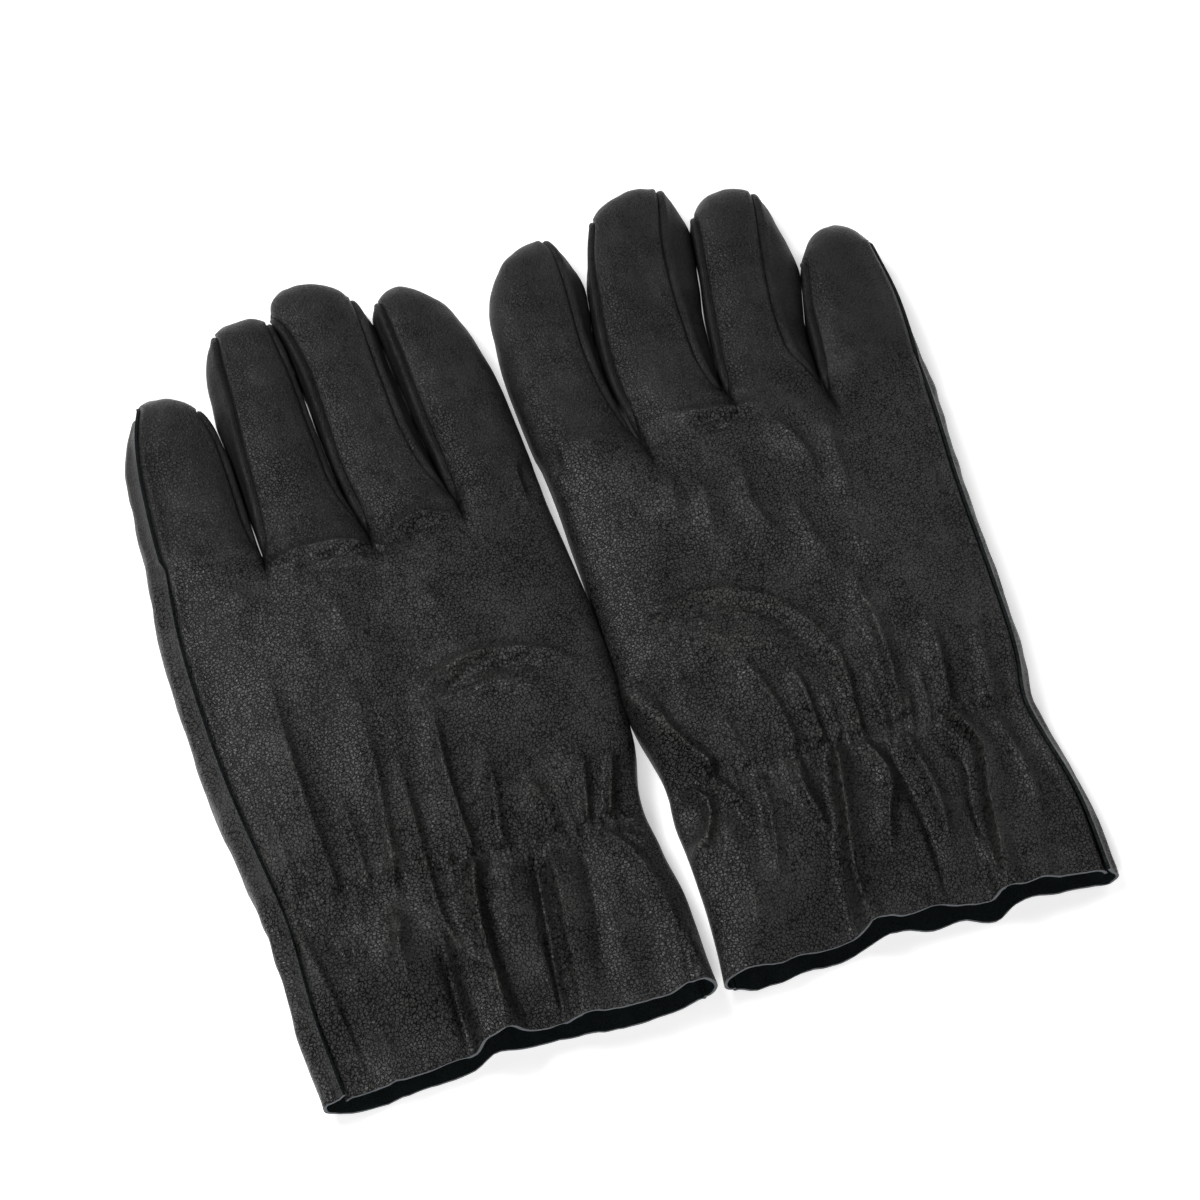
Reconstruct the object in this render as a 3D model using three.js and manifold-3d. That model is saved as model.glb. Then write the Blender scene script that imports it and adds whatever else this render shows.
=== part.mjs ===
// A pair of unlined leather riding gloves, lying side by side with their backs up and their thumbs
// folded under the palms. Millimetres, +Z up, fingertips towards +Y, origin under the middle of the pair.
//
// Each glove is laid out in its own (u, v) plan: u runs across it towards the thumb side, v from the
// cuff's hem to the fingertips. The right glove is the left one mirrored, with a lay of its own.
import * as THREE from "three";
import { mergeVertices } from "three/addons/utils/BufferGeometryUtils.js";
import Module from "manifold-3d";

const LEATHER = 1.0; // thickness of every leather panel
const SEAM = 0.05; // half of the open joint at a seam, in stations of the section
const HEM_Y = -128.6; // where both hems lie
const KNUCKLE_GAP = 3.2; // a finger's leather starts this far past its knuckle axis
const BACK_GAP = 0.5; // the back panel ends this far short of the knuckle axis
const PALM_GAP = 7; // the palm panel ends further back, to clear a bent finger
const BESIDE = 4; // a panel keeps clear of a knuckle this far beside its finger

// Heights of the hand's tube from the hem to the knuckles, as [v, height].
const HAND_HEIGHT = [[0, 16], [56, 17], [98, 19], [138, 19], [175, 16]];
const FINGER_HEIGHT = { root: 15, tip: 12.5 };
const LIP = 2 * LEATHER + 0.3; // height of a closed fingertip, back leather on palm leather

// Wrist elastic: a flat braid sewn inside the back, across the wrist.
const ELASTIC = { v: 56, width: 9, thickness: 0.8, from: -38, to: 42, below: 0.3 };

// The thumb lies folded under the palm, hinged at the far rim of its hole.
const THUMB = { hinge: [29, 100], lean: 12, length: 51, root: 14, end: 12, height: 6.6, gap: 1.5 };
const THUMB_BASE = { from: -31, to: -8.3 }; // along the thumb, from its hinge
const THUMB_HOLE = { u: 29, v: 83, across: 26, along: 26 };
const PALM_LIFT = { height: 6.95, u: [3, 46], v: [69, 152], ramp: 8 };

// The lay of each glove: its outline as [v, u] pairs, and for each finger its knuckle axis and its tip
// in (u, v), with its half-width at the knuckle and where the tip starts to round.
const LEFT = {
  side: 1,
  x: -59.1,
  littleSide: [[0, -50], [20, -51.6], [56, -52.6], [90, -57.4], [114, -59.5], [142, -60.4], [178, -58.5]],
  thumbSide: [[0, 56.5], [28, 57.5], [56, 54], [76, 57.5], [114, 59.5], [153, 57.5], [178, 57]],
  fingers: {
    little: { knuckle: [-42.2, 164], tip: [-42.2, 224.5], root: 16.1, end: 13.4 },
    ring: { knuckle: [-10, 164], tip: [-15, 243.5], root: 14.6, end: 12.2 },
    middle: { knuckle: [18.9, 165], tip: [9.4, 251.5], root: 12.8, end: 12.2 },
    index: { knuckle: [45, 166], tip: [36, 243.5], root: 12.2, end: 12.4 },
  },
};
const RIGHT = {
  side: -1,
  x: 57.6,
  littleSide: [[0, -54.6], [56, -51.8], [78, -54.3], [114, -56.8], [153, -60.3], [178, -61.5]],
  thumbSide: [[0, 57.8], [30, 55.6], [58, 54.4], [76, 57], [114, 56.5], [153, 58], [178, 58.5]],
  fingers: {
    little: { knuckle: [-45.8, 171], tip: [-50.6, 226.3], root: 14.6, end: 12.6 },
    ring: { knuckle: [-16.2, 176], tip: [-23.5, 249.5], root: 14, end: 14 },
    middle: { knuckle: [12.9, 176], tip: [6.5, 256.8], root: 14.1, end: 14.6 },
    index: { knuckle: [43, 170], tip: [39.8, 248], root: 14.9, end: 14.2 },
  },
};

const FINGERS = ["little", "ring", "middle", "index"];

// Round a section in twelve stations, from the low little side up and over the back to the thumb side
// and home along the palm: share of the half-width, share of the height.
const STATIONS = [
  [-0.93, 0.1], [-1, 0.4], [-0.95, 0.72], [-0.6, 0.93],
  [0, 1], [0.6, 0.93], [0.95, 0.72], [1, 0.4],
  [0.93, 0.1], [0.6, 0], [0, 0], [-0.6, 0],
];
const LITTLE_LOW = 0, LITTLE_HIGH = 2, THUMB_HIGH = 6, THUMB_LOW = 8, ROUND = 12;
const OUTER_SEAM = 2.35; // the side seam lies a little way in over the back of the hand
const sectionCurve = new THREE.CatmullRomCurve3(
  STATIONS.map(([across, up]) => new THREE.Vector3(across, up, 0)), true, "catmullrom", 0.5);

const leather = new THREE.MeshStandardMaterial({ color: 0x17171a, roughness: 0.55, metalness: 0 });
const gussetLeather = new THREE.MeshStandardMaterial({ color: 0x1b1b1e, roughness: 0.6, metalness: 0 });
const elasticBraid = new THREE.MeshStandardMaterial({ color: 0x0c0c0d, roughness: 0.9, metalness: 0 });

const { lerp, clamp, smoothstep } = THREE.MathUtils;

const wasm = await Module();
wasm.setup();

// The value at v of a curve given as [v, value] pairs, eased between them.
function along(pairs, v) {
  const last = pairs.length - 1;
  const i = clamp(pairs.findIndex(([at]) => at > v) - 1, 0, last - 1);
  if (v >= pairs[last][0]) return pairs[last][1];
  return lerp(pairs[i][1], pairs[i + 1][1], smoothstep(v, pairs[i][0], pairs[i + 1][0]));
}

// A point of a tube's section at a station: depth 0 is the outside, LEATHER the inside.
function sectionPoint(station, halfWidth, height, depth) {
  const p = sectionCurve.getPoint((((station / ROUND) % 1) + 1) % 1);
  const up = Math.max(p.y, 0);
  return { across: p.x * (halfWidth - depth), up: depth + up * (height - 2 * depth), share: up };
}

// A curved sheet of leather: a box whose across, along and thickness steps follow a surface function.
function sheet(name, material, acrossSteps, alongSteps, surface) {
  const geometry = new THREE.BoxGeometry(1, 1, 1, acrossSteps, alongSteps, 1);
  const position = geometry.attributes.position;
  for (let i = 0; i < position.count; i++) {
    const across = position.getX(i) + 0.5;
    const step = Math.round((position.getY(i) + 0.5) * alongSteps);
    const depth = position.getZ(i) > 0 ? 0 : 1;
    position.setXYZ(i, ...surface(across, step, depth));
  }
  geometry.computeVertexNormals();
  const mesh = new THREE.Mesh(geometry, material);
  mesh.name = name;
  return mesh;
}

// A mesh's geometry as a manifold solid, and a solid as a geometry.
function toSolid(geometry) {
  const bare = geometry.clone();
  bare.deleteAttribute("normal");
  bare.deleteAttribute("uv");
  const merged = mergeVertices(bare, 1e-3);
  return new wasm.Manifold(new wasm.Mesh({
    numProp: 3,
    vertProperties: merged.attributes.position.array,
    triVerts: new Uint32Array(merged.index.array),
  }));
}

function toGeometry(solid) {
  const mesh = solid.getMesh();
  const geometry = new THREE.BufferGeometry();
  geometry.setAttribute("position", new THREE.BufferAttribute(new Float32Array(mesh.vertProperties), 3));
  geometry.setIndex(new THREE.BufferAttribute(new Uint32Array(mesh.triVerts), 1));
  geometry.computeVertexNormals();
  return geometry;
}

// --- Fingers and thumb: tubes that close to a lip at the tip ---

// Where a tube's sections stand, as shares of its length. The gussets stop GUSSET_SHORT sections early.
const TUBE_STEPS = [0, 0.28, 0.56, 0.76, 0.86, 0.93, 0.975, 1];
const GUSSET_SHORT = 2;
const TIP_ROUND = 15; // length over which a tip rounds off

// Half-width and height of a tube at s from its knuckle.
function tubeSize(tube, s) {
  const roundFrom = tube.length - TIP_ROUND;
  const t = clamp((s - roundFrom) / TIP_ROUND, 0, 1);
  const round = Math.pow(1 - Math.pow(t * 0.97, 2.6), 1 / 2.6);
  const halfWidth = lerp(tube.root, tube.end, clamp(s / roundFrom, 0, 1)) * round;
  const full = lerp(tube.rootHeight, tube.tipHeight, clamp(s / tube.length, 0, 1));
  const drop = Math.pow(1 - Math.pow(t, 2.2), 1 / 2.2);
  return { halfWidth, height: lerp(LIP, full, drop) };
}

// The seams close on the middle of the side as the gussets taper to a point near the tip.
function seamShift(tube, s) {
  return 0.9 * smoothstep(s, 0.62 * tube.length, 0.95 * tube.length);
}

// One panel of a tube between two stations. from and to give the station at a distance s.
function tubePanel(name, material, tube, from, to, acrossSteps, steps = TUBE_STEPS) {
  return sheet(name, material, acrossSteps, steps.length - 1, (share, step, inside) => {
    const s = lerp(tube.gap, tube.length, steps[step]);
    const { halfWidth, height } = tubeSize(tube, s);
    const station = lerp(from(s) + SEAM, to(s) - SEAM, share);
    const p = sectionPoint(station, halfWidth, height, inside * LEATHER);
    return [p.across, s, p.up];
  });
}

// A finger on its knuckle axis: back and palm leather, and a gusset on each side that has a neighbour.
function fingerGroup(prefix, name, finger) {
  const [u, v] = finger.knuckle;
  const reach = new THREE.Vector2(finger.tip[0] - u, finger.tip[1] - v);
  const tube = {
    ...finger, length: reach.length(), gap: KNUCKLE_GAP,
    rootHeight: FINGER_HEIGHT.root, tipHeight: FINGER_HEIGHT.tip,
  };
  const littleSeam = (s) => LITTLE_HIGH - seamShift(tube, s);
  const littleLow = (s) => ROUND + LITTLE_LOW + seamShift(tube, s);
  const thumbSeam = (s) => THUMB_HIGH + seamShift(tube, s);
  const thumbLow = (s) => THUMB_LOW - seamShift(tube, s);
  const outerLittle = name === "little", outerThumb = name === "index";
  const group = new THREE.Group();
  const id = prefix + name;
  // The back leather folds round the outside of the index finger, the palm leather round the little one.
  group.add(tubePanel(id + "_back", leather, tube, littleSeam, outerThumb ? thumbLow : thumbSeam,
    outerThumb ? 7 : 5));
  group.add(tubePanel(id + "_palm", leather, tube, thumbLow,
    outerLittle ? (s) => ROUND + littleSeam(s) : littleLow, outerLittle ? 6 : 4));
  const gussetSteps = TUBE_STEPS.slice(0, TUBE_STEPS.length - GUSSET_SHORT);
  if (!outerLittle)
    group.add(tubePanel(id + "_gusset_little_side", gussetLeather, tube,
      (s) => littleLow(s) - ROUND, littleSeam, 2, gussetSteps));
  if (!outerThumb)
    group.add(tubePanel(id + "_gusset_thumb_side", gussetLeather, tube,
      thumbSeam, thumbLow, 2, gussetSteps));
  group.position.set(u, v, 0);
  group.rotation.z = Math.atan2(-reach.x, reach.y);
  return group;
}

// The thumb, folded flat under the palm, and the part of its leather that stays with the palm.
function thumbGroup(prefix) {
  const tube = { ...THUMB, rootHeight: THUMB.height, tipHeight: THUMB.height };
  const group = new THREE.Group();
  const littleSeam = (s) => LITTLE_HIGH - seamShift(tube, s);
  const thumbSeam = (s) => THUMB_HIGH + seamShift(tube, s);
  group.add(tubePanel(prefix + "thumb_back", leather, tube, littleSeam, thumbSeam, 5));
  group.add(tubePanel(prefix + "thumb_front", leather, tube, thumbSeam,
    (s) => ROUND + littleSeam(s), 8));
  const steps = [0, 0.12, 0.3, 0.6, 1];
  const { from, to } = THUMB_BASE;
  group.add(sheet(prefix + "thumb_base", leather, 8, steps.length - 1, (share, step, inside) => {
    const s = lerp(from, to, steps[step]);
    const round = Math.pow(1 - Math.pow(1 - steps[step], 4), 0.5);
    const halfWidth = THUMB.root * lerp(0.45, 1, round);
    const height = lerp(LIP, THUMB.height, round);
    const station = lerp(THUMB_HIGH, ROUND + LITTLE_HIGH, share);
    const p = sectionPoint(station, halfWidth, height, inside * LEATHER);
    return [p.across, s, p.up];
  }));
  group.position.set(THUMB.hinge[0], THUMB.hinge[1], 0);
  group.rotation.z = THREE.MathUtils.degToRad(THUMB.lean);
  return group;
}

// --- The hand: a wide flat tube from the hem to the knuckles ---

const HAND_STEPS = [0, 0.12, 0.24, 0.33, 0.42, 0.52, 0.64, 0.76, 0.88, 0.94, 1];

// v of the knuckle line at u: each finger's knuckle axis in turn.
function knuckleLine(lay, u) {
  const lines = FINGERS.map((name) => {
    const { knuckle, tip, root } = lay.fingers[name];
    const slope = -(tip[0] - knuckle[0]) / (tip[1] - knuckle[1]);
    return { low: knuckle[0] - root, high: knuckle[0] + root, at: (x) => knuckle[1] + slope * (x - knuckle[0]) };
  });
  const near = lines.filter(({ low, high }) => u > low - BESIDE && u < high + BESIDE);
  const used = near.length ? near : [u < 0 ? lines[0] : lines[3]];
  return Math.min(...used.map((line) => line.at(u)));
}

// How far the thumb underneath lifts the palm at (u, v).
function palmLift(u, v) {
  const { height, u: across, v: up, ramp } = PALM_LIFT;
  const rise = (x, [low, high]) =>
    smoothstep(x, low - ramp, low) * (1 - smoothstep(x, high, high + ramp));
  return height * rise(u, across) * rise(v, up);
}

// A point of the hand's tube. endGap is how far it stops short of the knuckle axes.
function handPoint(lay, station, share, inside, endGap) {
  const depth = inside * LEATHER;
  const at = (v) => {
    const little = along(lay.littleSide, v), thumb = along(lay.thumbSide, v);
    const p = sectionPoint(station, (thumb - little) / 2, along(HAND_HEIGHT, v), depth);
    return { u: (little + thumb) / 2 + p.across, up: p.up, share: p.share };
  };
  const end = knuckleLine(lay, at(160).u) - endGap;
  const v = share * end;
  const p = at(v);
  const floor = p.share < 0.5 ? palmLift(p.u, v) + depth : 0;
  return [p.u, v, Math.max(p.up, floor)];
}

function handPanel(name, lay, from, to, acrossSteps, endGap) {
  return sheet(name, leather, acrossSteps, HAND_STEPS.length - 1, (share, step, inside) =>
    handPoint(lay, lerp(from + SEAM, to - SEAM, share), HAND_STEPS[step], inside, endGap));
}

// The palm, with the oval hole that the thumb goes through.
function palmPanel(name, lay) {
  const mesh = handPanel(name, lay, THUMB_LOW, ROUND + OUTER_SEAM, 20, PALM_GAP);
  const hole = new THREE.CylinderGeometry(0.5, 0.5, 30, 20).rotateX(Math.PI / 2);
  hole.scale(THUMB_HOLE.across, THUMB_HOLE.along, 1);
  hole.translate(THUMB_HOLE.u, THUMB_HOLE.v, 0);
  mesh.geometry = toGeometry(toSolid(mesh.geometry).subtract(toSolid(hole)));
  return mesh;
}

// The elastic braid, flat under the back leather at the wrist.
function wristElastic(name, lay) {
  return sheet(name, elasticBraid, 10, 1, (share, step, inside) => {
    const u = lerp(ELASTIC.from, ELASTIC.to, share);
    const v = ELASTIC.v + (step - 0.5) * ELASTIC.width;
    const little = along(lay.littleSide, v), thumb = along(lay.thumbSide, v);
    const halfWidth = (thumb - little) / 2;
    const away = (u - (little + thumb) / 2) / halfWidth;
    const under = along(HAND_HEIGHT, v) * (1 - 0.2 * away * away) - 2 * LEATHER - ELASTIC.below;
    return [u, v, under - inside * ELASTIC.thickness];
  });
}

function glove(prefix, lay) {
  const group = new THREE.Group();
  group.add(handPanel(prefix + "back_panel", lay, OUTER_SEAM, THUMB_LOW, 18, BACK_GAP));
  group.add(palmPanel(prefix + "palm_panel", lay));
  group.add(wristElastic(prefix + "wrist_elastic", lay));
  group.add(thumbGroup(prefix));
  for (const name of FINGERS) group.add(fingerGroup(prefix, name, lay.fingers[name]));
  group.position.set(lay.x, HEM_Y, 0);
  group.scale.set(lay.side, 1, 1);
  return group;
}

const pair = new THREE.Group();
pair.add(glove("left_", LEFT));
pair.add(glove("right_", RIGHT));

export default pair;
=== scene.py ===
import math

import bpy
import numpy as np
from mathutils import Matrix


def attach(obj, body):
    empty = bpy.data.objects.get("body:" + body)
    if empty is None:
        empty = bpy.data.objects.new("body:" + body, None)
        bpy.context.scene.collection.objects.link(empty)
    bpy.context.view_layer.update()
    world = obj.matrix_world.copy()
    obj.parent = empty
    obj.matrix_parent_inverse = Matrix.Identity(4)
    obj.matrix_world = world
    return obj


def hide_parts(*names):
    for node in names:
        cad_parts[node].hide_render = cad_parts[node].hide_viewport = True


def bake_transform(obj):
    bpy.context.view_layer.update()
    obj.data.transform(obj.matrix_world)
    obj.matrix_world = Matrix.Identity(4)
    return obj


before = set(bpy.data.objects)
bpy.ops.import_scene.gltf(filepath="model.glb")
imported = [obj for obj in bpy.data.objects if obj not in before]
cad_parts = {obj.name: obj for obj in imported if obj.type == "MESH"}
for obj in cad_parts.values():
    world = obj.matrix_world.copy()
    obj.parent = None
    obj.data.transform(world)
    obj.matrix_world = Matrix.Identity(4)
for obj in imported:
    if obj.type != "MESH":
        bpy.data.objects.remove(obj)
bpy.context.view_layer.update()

# ---------------------------------------------------------------- the studio
# The gloves lie on a plain white table. A soft window stands behind them on the left, and two weaker
# lights, one in front and one on the right, fill in the sides that face away from it.

bpy.context.scene.view_settings.view_transform = "Standard"
world = bpy.data.worlds.new("white studio")
bpy.context.scene.world = world
world.use_nodes = True
sky = world.node_tree.nodes["Background"]
sky.inputs["Color"].default_value = (1.0, 1.0, 1.0, 1)
sky.inputs["Strength"].default_value = 0.13


def new_material(name):
    made = bpy.data.materials.new(name)
    made.use_nodes = True
    return made, made.node_tree, made.node_tree.nodes["Principled BSDF"]


bpy.ops.mesh.primitive_plane_add(size=6, location=(0, 0, 0))
table = bpy.context.object
table.name = "table"
paper, _, paper_finish = new_material("white paper")
paper_finish.inputs["Base Color"].default_value = (0.93, 0.93, 0.93, 1)
paper_finish.inputs["Roughness"].default_value = 0.9
paper_finish.inputs["Emission Color"].default_value = (1, 1, 1, 1)
paper_finish.inputs["Emission Strength"].default_value = 0.45
table.data.materials.append(paper)


def soft_light(name, place, aim, width, height, watts):
    light = bpy.data.lights.new(name, "AREA")
    light.shape = "RECTANGLE"
    light.size, light.size_y, light.energy = width, height, watts
    lamp = bpy.data.objects.new(name, light)
    bpy.context.scene.collection.objects.link(lamp)
    back = np.array(place, float) - np.array(aim, float)
    turn = math.atan2(back[0], -back[1])
    tilt = math.atan2(math.hypot(back[0], back[1]), back[2])
    lamp.location = place
    lamp.rotation_euler = (tilt, 0, turn)


soft_light("window", (-0.55, 0.6, 1.0), (0, 0, 0), 0.6, 0.45, 12.5)
soft_light("front fill", (-0.4, -1.0, 0.8), (0, 0, 0), 0.6, 0.4, 9)
soft_light("side fill", (0.9, 0.5, 0.8), (0, 0, 0), 0.7, 0.5, 3)

VIEW_AZIMUTH, VIEW_ELEVATION, VIEW_DISTANCE = math.radians(-17), math.radians(60), 0.85
VIEW_TARGET = np.array((0.00425, -0.0031, 0.0))
to_camera = np.array((
    math.sin(VIEW_AZIMUTH) * math.cos(VIEW_ELEVATION),
    -math.cos(VIEW_AZIMUTH) * math.cos(VIEW_ELEVATION),
    math.sin(VIEW_ELEVATION),
))
camera_data = bpy.data.cameras.new("camera")
camera_data.sensor_width = 36  # mm
camera_data.lens = 89.25  # mm
camera = bpy.data.objects.new("camera", camera_data)
bpy.context.scene.collection.objects.link(camera)
camera.location = VIEW_TARGET + VIEW_DISTANCE * to_camera
camera.rotation_euler = (math.pi / 2 - VIEW_ELEVATION, 0, VIEW_AZIMUTH)
bpy.context.scene.camera = camera

# ---------------------------------------------------------------- backs of the hands and fingers
# One piece of skin covers the back of the hand and is split into the backs of four fingers. It folds
# round the index side and is sewn to the palm along its other side, inside out, so no stitch shows.

# The leather is thin sheepskin, soft black with a fine grain. Every piece carries a flat map of its own
# skin, a value for wear where handling has polished and browned folds and edges, which also carries
# painted highlights, a lighter colour along the tops of folds and on the welts beside seams, and a smooth
# value that grows towards the fingers, where the grain is shallower and shines less.
SKIN_UNIT = 100.0  # millimetres of skin to one unit of its flat map
MM = 0.001


def group_socket(tree, name, kind, way, value=None):
    socket = tree.interface.new_socket(name, in_out=way, socket_type="NodeSocket" + kind)
    if value is not None:
        socket.default_value = value


def node(tree, kind, **inputs):
    made = tree.nodes.new("ShaderNode" + kind)
    for name, value in inputs.items():
        key = int(name[1:]) if name[0] == "i" and name[1:].isdigit() else name.replace("_", " ")
        if isinstance(value, bpy.types.NodeSocket):
            tree.links.new(value, made.inputs[key])
        else:
            made.inputs[key].default_value = value
    return made


def maths(tree, operation, a, b=0.0):
    made = node(tree, "Math", i0=a, i1=b)
    made.operation = operation
    return made.outputs[0]


def times(tree, a, b):
    return maths(tree, "MULTIPLY", a, b)


def plus(tree, a, b):
    return maths(tree, "ADD", a, b)


def minus(tree, a, b):
    return maths(tree, "SUBTRACT", a, b)


def mix_colour(tree, share, a, b):
    made = tree.nodes.new("ShaderNodeMix")
    made.data_type = "RGBA"
    for socket, value in ((made.inputs[0], share), (made.inputs[6], a), (made.inputs[7], b)):
        if isinstance(value, bpy.types.NodeSocket):
            tree.links.new(value, socket)
        else:
            socket.default_value = value
    return made.outputs[2]


# Grain: cells of the skin with fine creases between them, a finer set inside them, and a little hair.
grain = bpy.data.node_groups.new("skin grain", "ShaderNodeTree")
group_socket(grain, "Skin", "Vector", "INPUT")
group_socket(grain, "Cell", "Float", "INPUT", 1.0)
group_socket(grain, "Coarse", "Float", "INPUT", 0.5)
group_socket(grain, "Height", "Float", "OUTPUT")
group_socket(grain, "Creases", "Float", "OUTPUT")
inp = grain.nodes.new("NodeGroupInput")
out = grain.nodes.new("NodeGroupOutput")
scaled = node(grain, "VectorMath", i0=inp.outputs["Skin"])
scaled.operation = "SCALE"
grain.links.new(inp.outputs["Cell"], scaled.inputs["Scale"])
warp = node(grain, "TexNoise", Vector=scaled.outputs[0], Scale=0.9, Detail=2.0, Roughness=0.6)
warped = node(grain, "VectorMath", i0=scaled.outputs[0], i1=warp.outputs["Color"])
warped.operation = "ADD"


def creases(scale, width):
    """How deep in a crease a point lies: 1 on the edge between two cells, 0 beyond the crease's width."""
    cells = node(grain, "TexVoronoi", Vector=warped.outputs[0], Scale=scale)
    cells.feature = "DISTANCE_TO_EDGE"
    ramp = node(grain, "MapRange", i0=cells.outputs["Distance"], i1=0.0, i2=width, i3=1.0, i4=0.0)
    ramp.interpolation_type = "SMOOTHSTEP"
    return ramp.outputs[0]


stretched = node(grain, "Mapping", Vector=scaled.outputs[0], Scale=(1.0, 0.38, 1.0))
hair = node(grain, "TexNoise", Vector=stretched.outputs[0], Scale=1.7, Detail=4.0, Roughness=0.65)
large = node(grain, "TexNoise", Vector=scaled.outputs[0], Scale=0.06, Detail=3.0, Roughness=0.6)
patch = node(grain, "MapRange", i0=large.outputs["Fac"], i1=0.38, i2=0.62)
depth = times(grain, inp.outputs["Coarse"], plus(grain, 0.62, times(grain, patch.outputs[0], 0.45)))
both = plus(grain, creases(1.0, 0.17), times(grain, creases(1.9, 0.2), 0.45))
cracked = maths(grain, "MINIMUM", times(grain, both, depth), 1.0)
height = minus(grain, times(grain, hair.outputs["Fac"], 0.6), cracked)
grain.links.new(height, out.inputs["Height"])
grain.links.new(cracked, out.inputs["Creases"])


def leather(name, crease_shade, black, brown, cell, bump, shine=0.85):
    """The first colour is painted shade, a darker colour in the lines of the grain; black colours the plain
    skin, and brown the worn skin and the painted highlights on fold crests and seam welts. A larger
    cell makes the grain finer."""
    made, tree, shader = new_material(name)
    shader.inputs["IOR"].default_value = 1.46
    skin = tree.nodes.new("ShaderNodeUVMap")
    skin.uv_map = "skin"
    millimetres = node(tree, "VectorMath", i0=skin.outputs[0])
    millimetres.operation = "SCALE"
    millimetres.inputs["Scale"].default_value = SKIN_UNIT
    rub, smooth = tree.nodes.new("ShaderNodeAttribute"), tree.nodes.new("ShaderNodeAttribute")
    rub.attribute_name, smooth.attribute_name = "rub", "smooth"
    grained = tree.nodes.new("ShaderNodeGroup")
    grained.node_tree = grain
    tree.links.new(millimetres.outputs[0], grained.inputs["Skin"])
    grained.inputs["Cell"].default_value = cell
    half_smooth = times(tree, smooth.outputs["Fac"], 0.5)
    tree.links.new(minus(tree, 1.15, half_smooth), grained.inputs["Coarse"])
    blotch = node(tree, "TexNoise", Vector=millimetres.outputs[0], Scale=0.035, Detail=4.0, Roughness=0.6)
    wear_and_highlight_share = times(tree, rub.outputs["Fac"], plus(tree, 0.25, times(tree, blotch.outputs["Fac"], 1.3)))
    wear_and_highlight_share = times(tree, wear_and_highlight_share, minus(tree, 1.0, times(tree, smooth.outputs["Fac"], 0.6)))
    # brown for real wear, and also as painted highlight on fold crests and seam welts
    colour = mix_colour(tree, maths(tree, "MINIMUM", wear_and_highlight_share, 1.0), black, brown)
    # painted shade: the lines of the grain are darkened in colour
    colour = mix_colour(tree, grained.outputs["Creases"], colour, crease_shade)
    # a few pale scuffs
    scuff = node(tree, "TexNoise", Vector=millimetres.outputs[0], Scale=0.11, Detail=5.0, Roughness=0.75)
    scuffed = node(tree, "MapRange", i0=scuff.outputs["Fac"], i1=0.735, i2=0.78)
    colour = mix_colour(tree, times(tree, scuffed.outputs[0], 0.5), colour, (0.12, 0.12, 0.11, 1))
    tree.links.new(colour, shader.inputs["Base Color"])
    glint = times(tree, minus(tree, 1.0, times(tree, grained.outputs["Creases"], 0.8)), shine)
    tree.links.new(times(tree, glint, minus(tree, 1.0, half_smooth)), shader.inputs["Specular IOR Level"])
    rough = minus(tree, 0.39, times(tree, wear_and_highlight_share, 0.06))
    rough = plus(tree, rough, times(tree, blotch.outputs["Fac"], 0.08))
    tree.links.new(rough, shader.inputs["Roughness"])
    crumple = node(tree, "TexNoise", Vector=millimetres.outputs[0], Scale=0.35, Detail=4.0, Roughness=0.6,
                   Distortion=0.5)
    crumpled = times(tree, crumple.outputs["Fac"], plus(tree, 1.6, times(tree, wear_and_highlight_share, 4.0)))
    relief = plus(tree, grained.outputs["Height"], crumpled)
    bumped = node(tree, "Bump", Height=relief, Strength=bump, Distance=0.00017)
    tree.links.new(bumped.outputs[0], shader.inputs["Normal"])
    return made


# The first colour of each leather is painted shade, a darker colour for the lines of its grain.
hand_leather = leather("glove leather", (0.0008, 0.0008, 0.0009, 1), (0.0085, 0.0085, 0.0084, 1),
                       (0.028, 0.028, 0.0245, 1), 1.0, 1.0)
suede = leather("suede inside", (0.004, 0.006, 0.006, 1), (0.013, 0.0165, 0.0168, 1),
                (0.02, 0.023, 0.023, 1), 2.4, 0.5, 0.08)
cut_edge, edge_tree, edge_finish = new_material("raw cut edge")
edge_finish.inputs["Roughness"].default_value = 0.85
edge_place = edge_tree.nodes.new("ShaderNodeTexCoord")
fibre = node(edge_tree, "TexNoise", Vector=edge_place.outputs["Object"], Scale=900.0, Detail=3.0)
edge_colour = mix_colour(edge_tree, fibre.outputs["Fac"], (0.03, 0.036, 0.042, 1), (0.12, 0.13, 0.14, 1))
edge_tree.links.new(edge_colour, edge_finish.inputs["Base Color"])

# How the gloves lie, in millimetres. Each is one back and one palm cut from the skin, sewn down the
# little-finger side and folded along the index side, with its fingers split and let out by gussets.
# An outline is a list of (y, x). A finger has its knuckle and tip, the sideways lean of its very tip,
# and for each side its edge and its seam as (distance from the knuckle, distance from the middle line).

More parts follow.
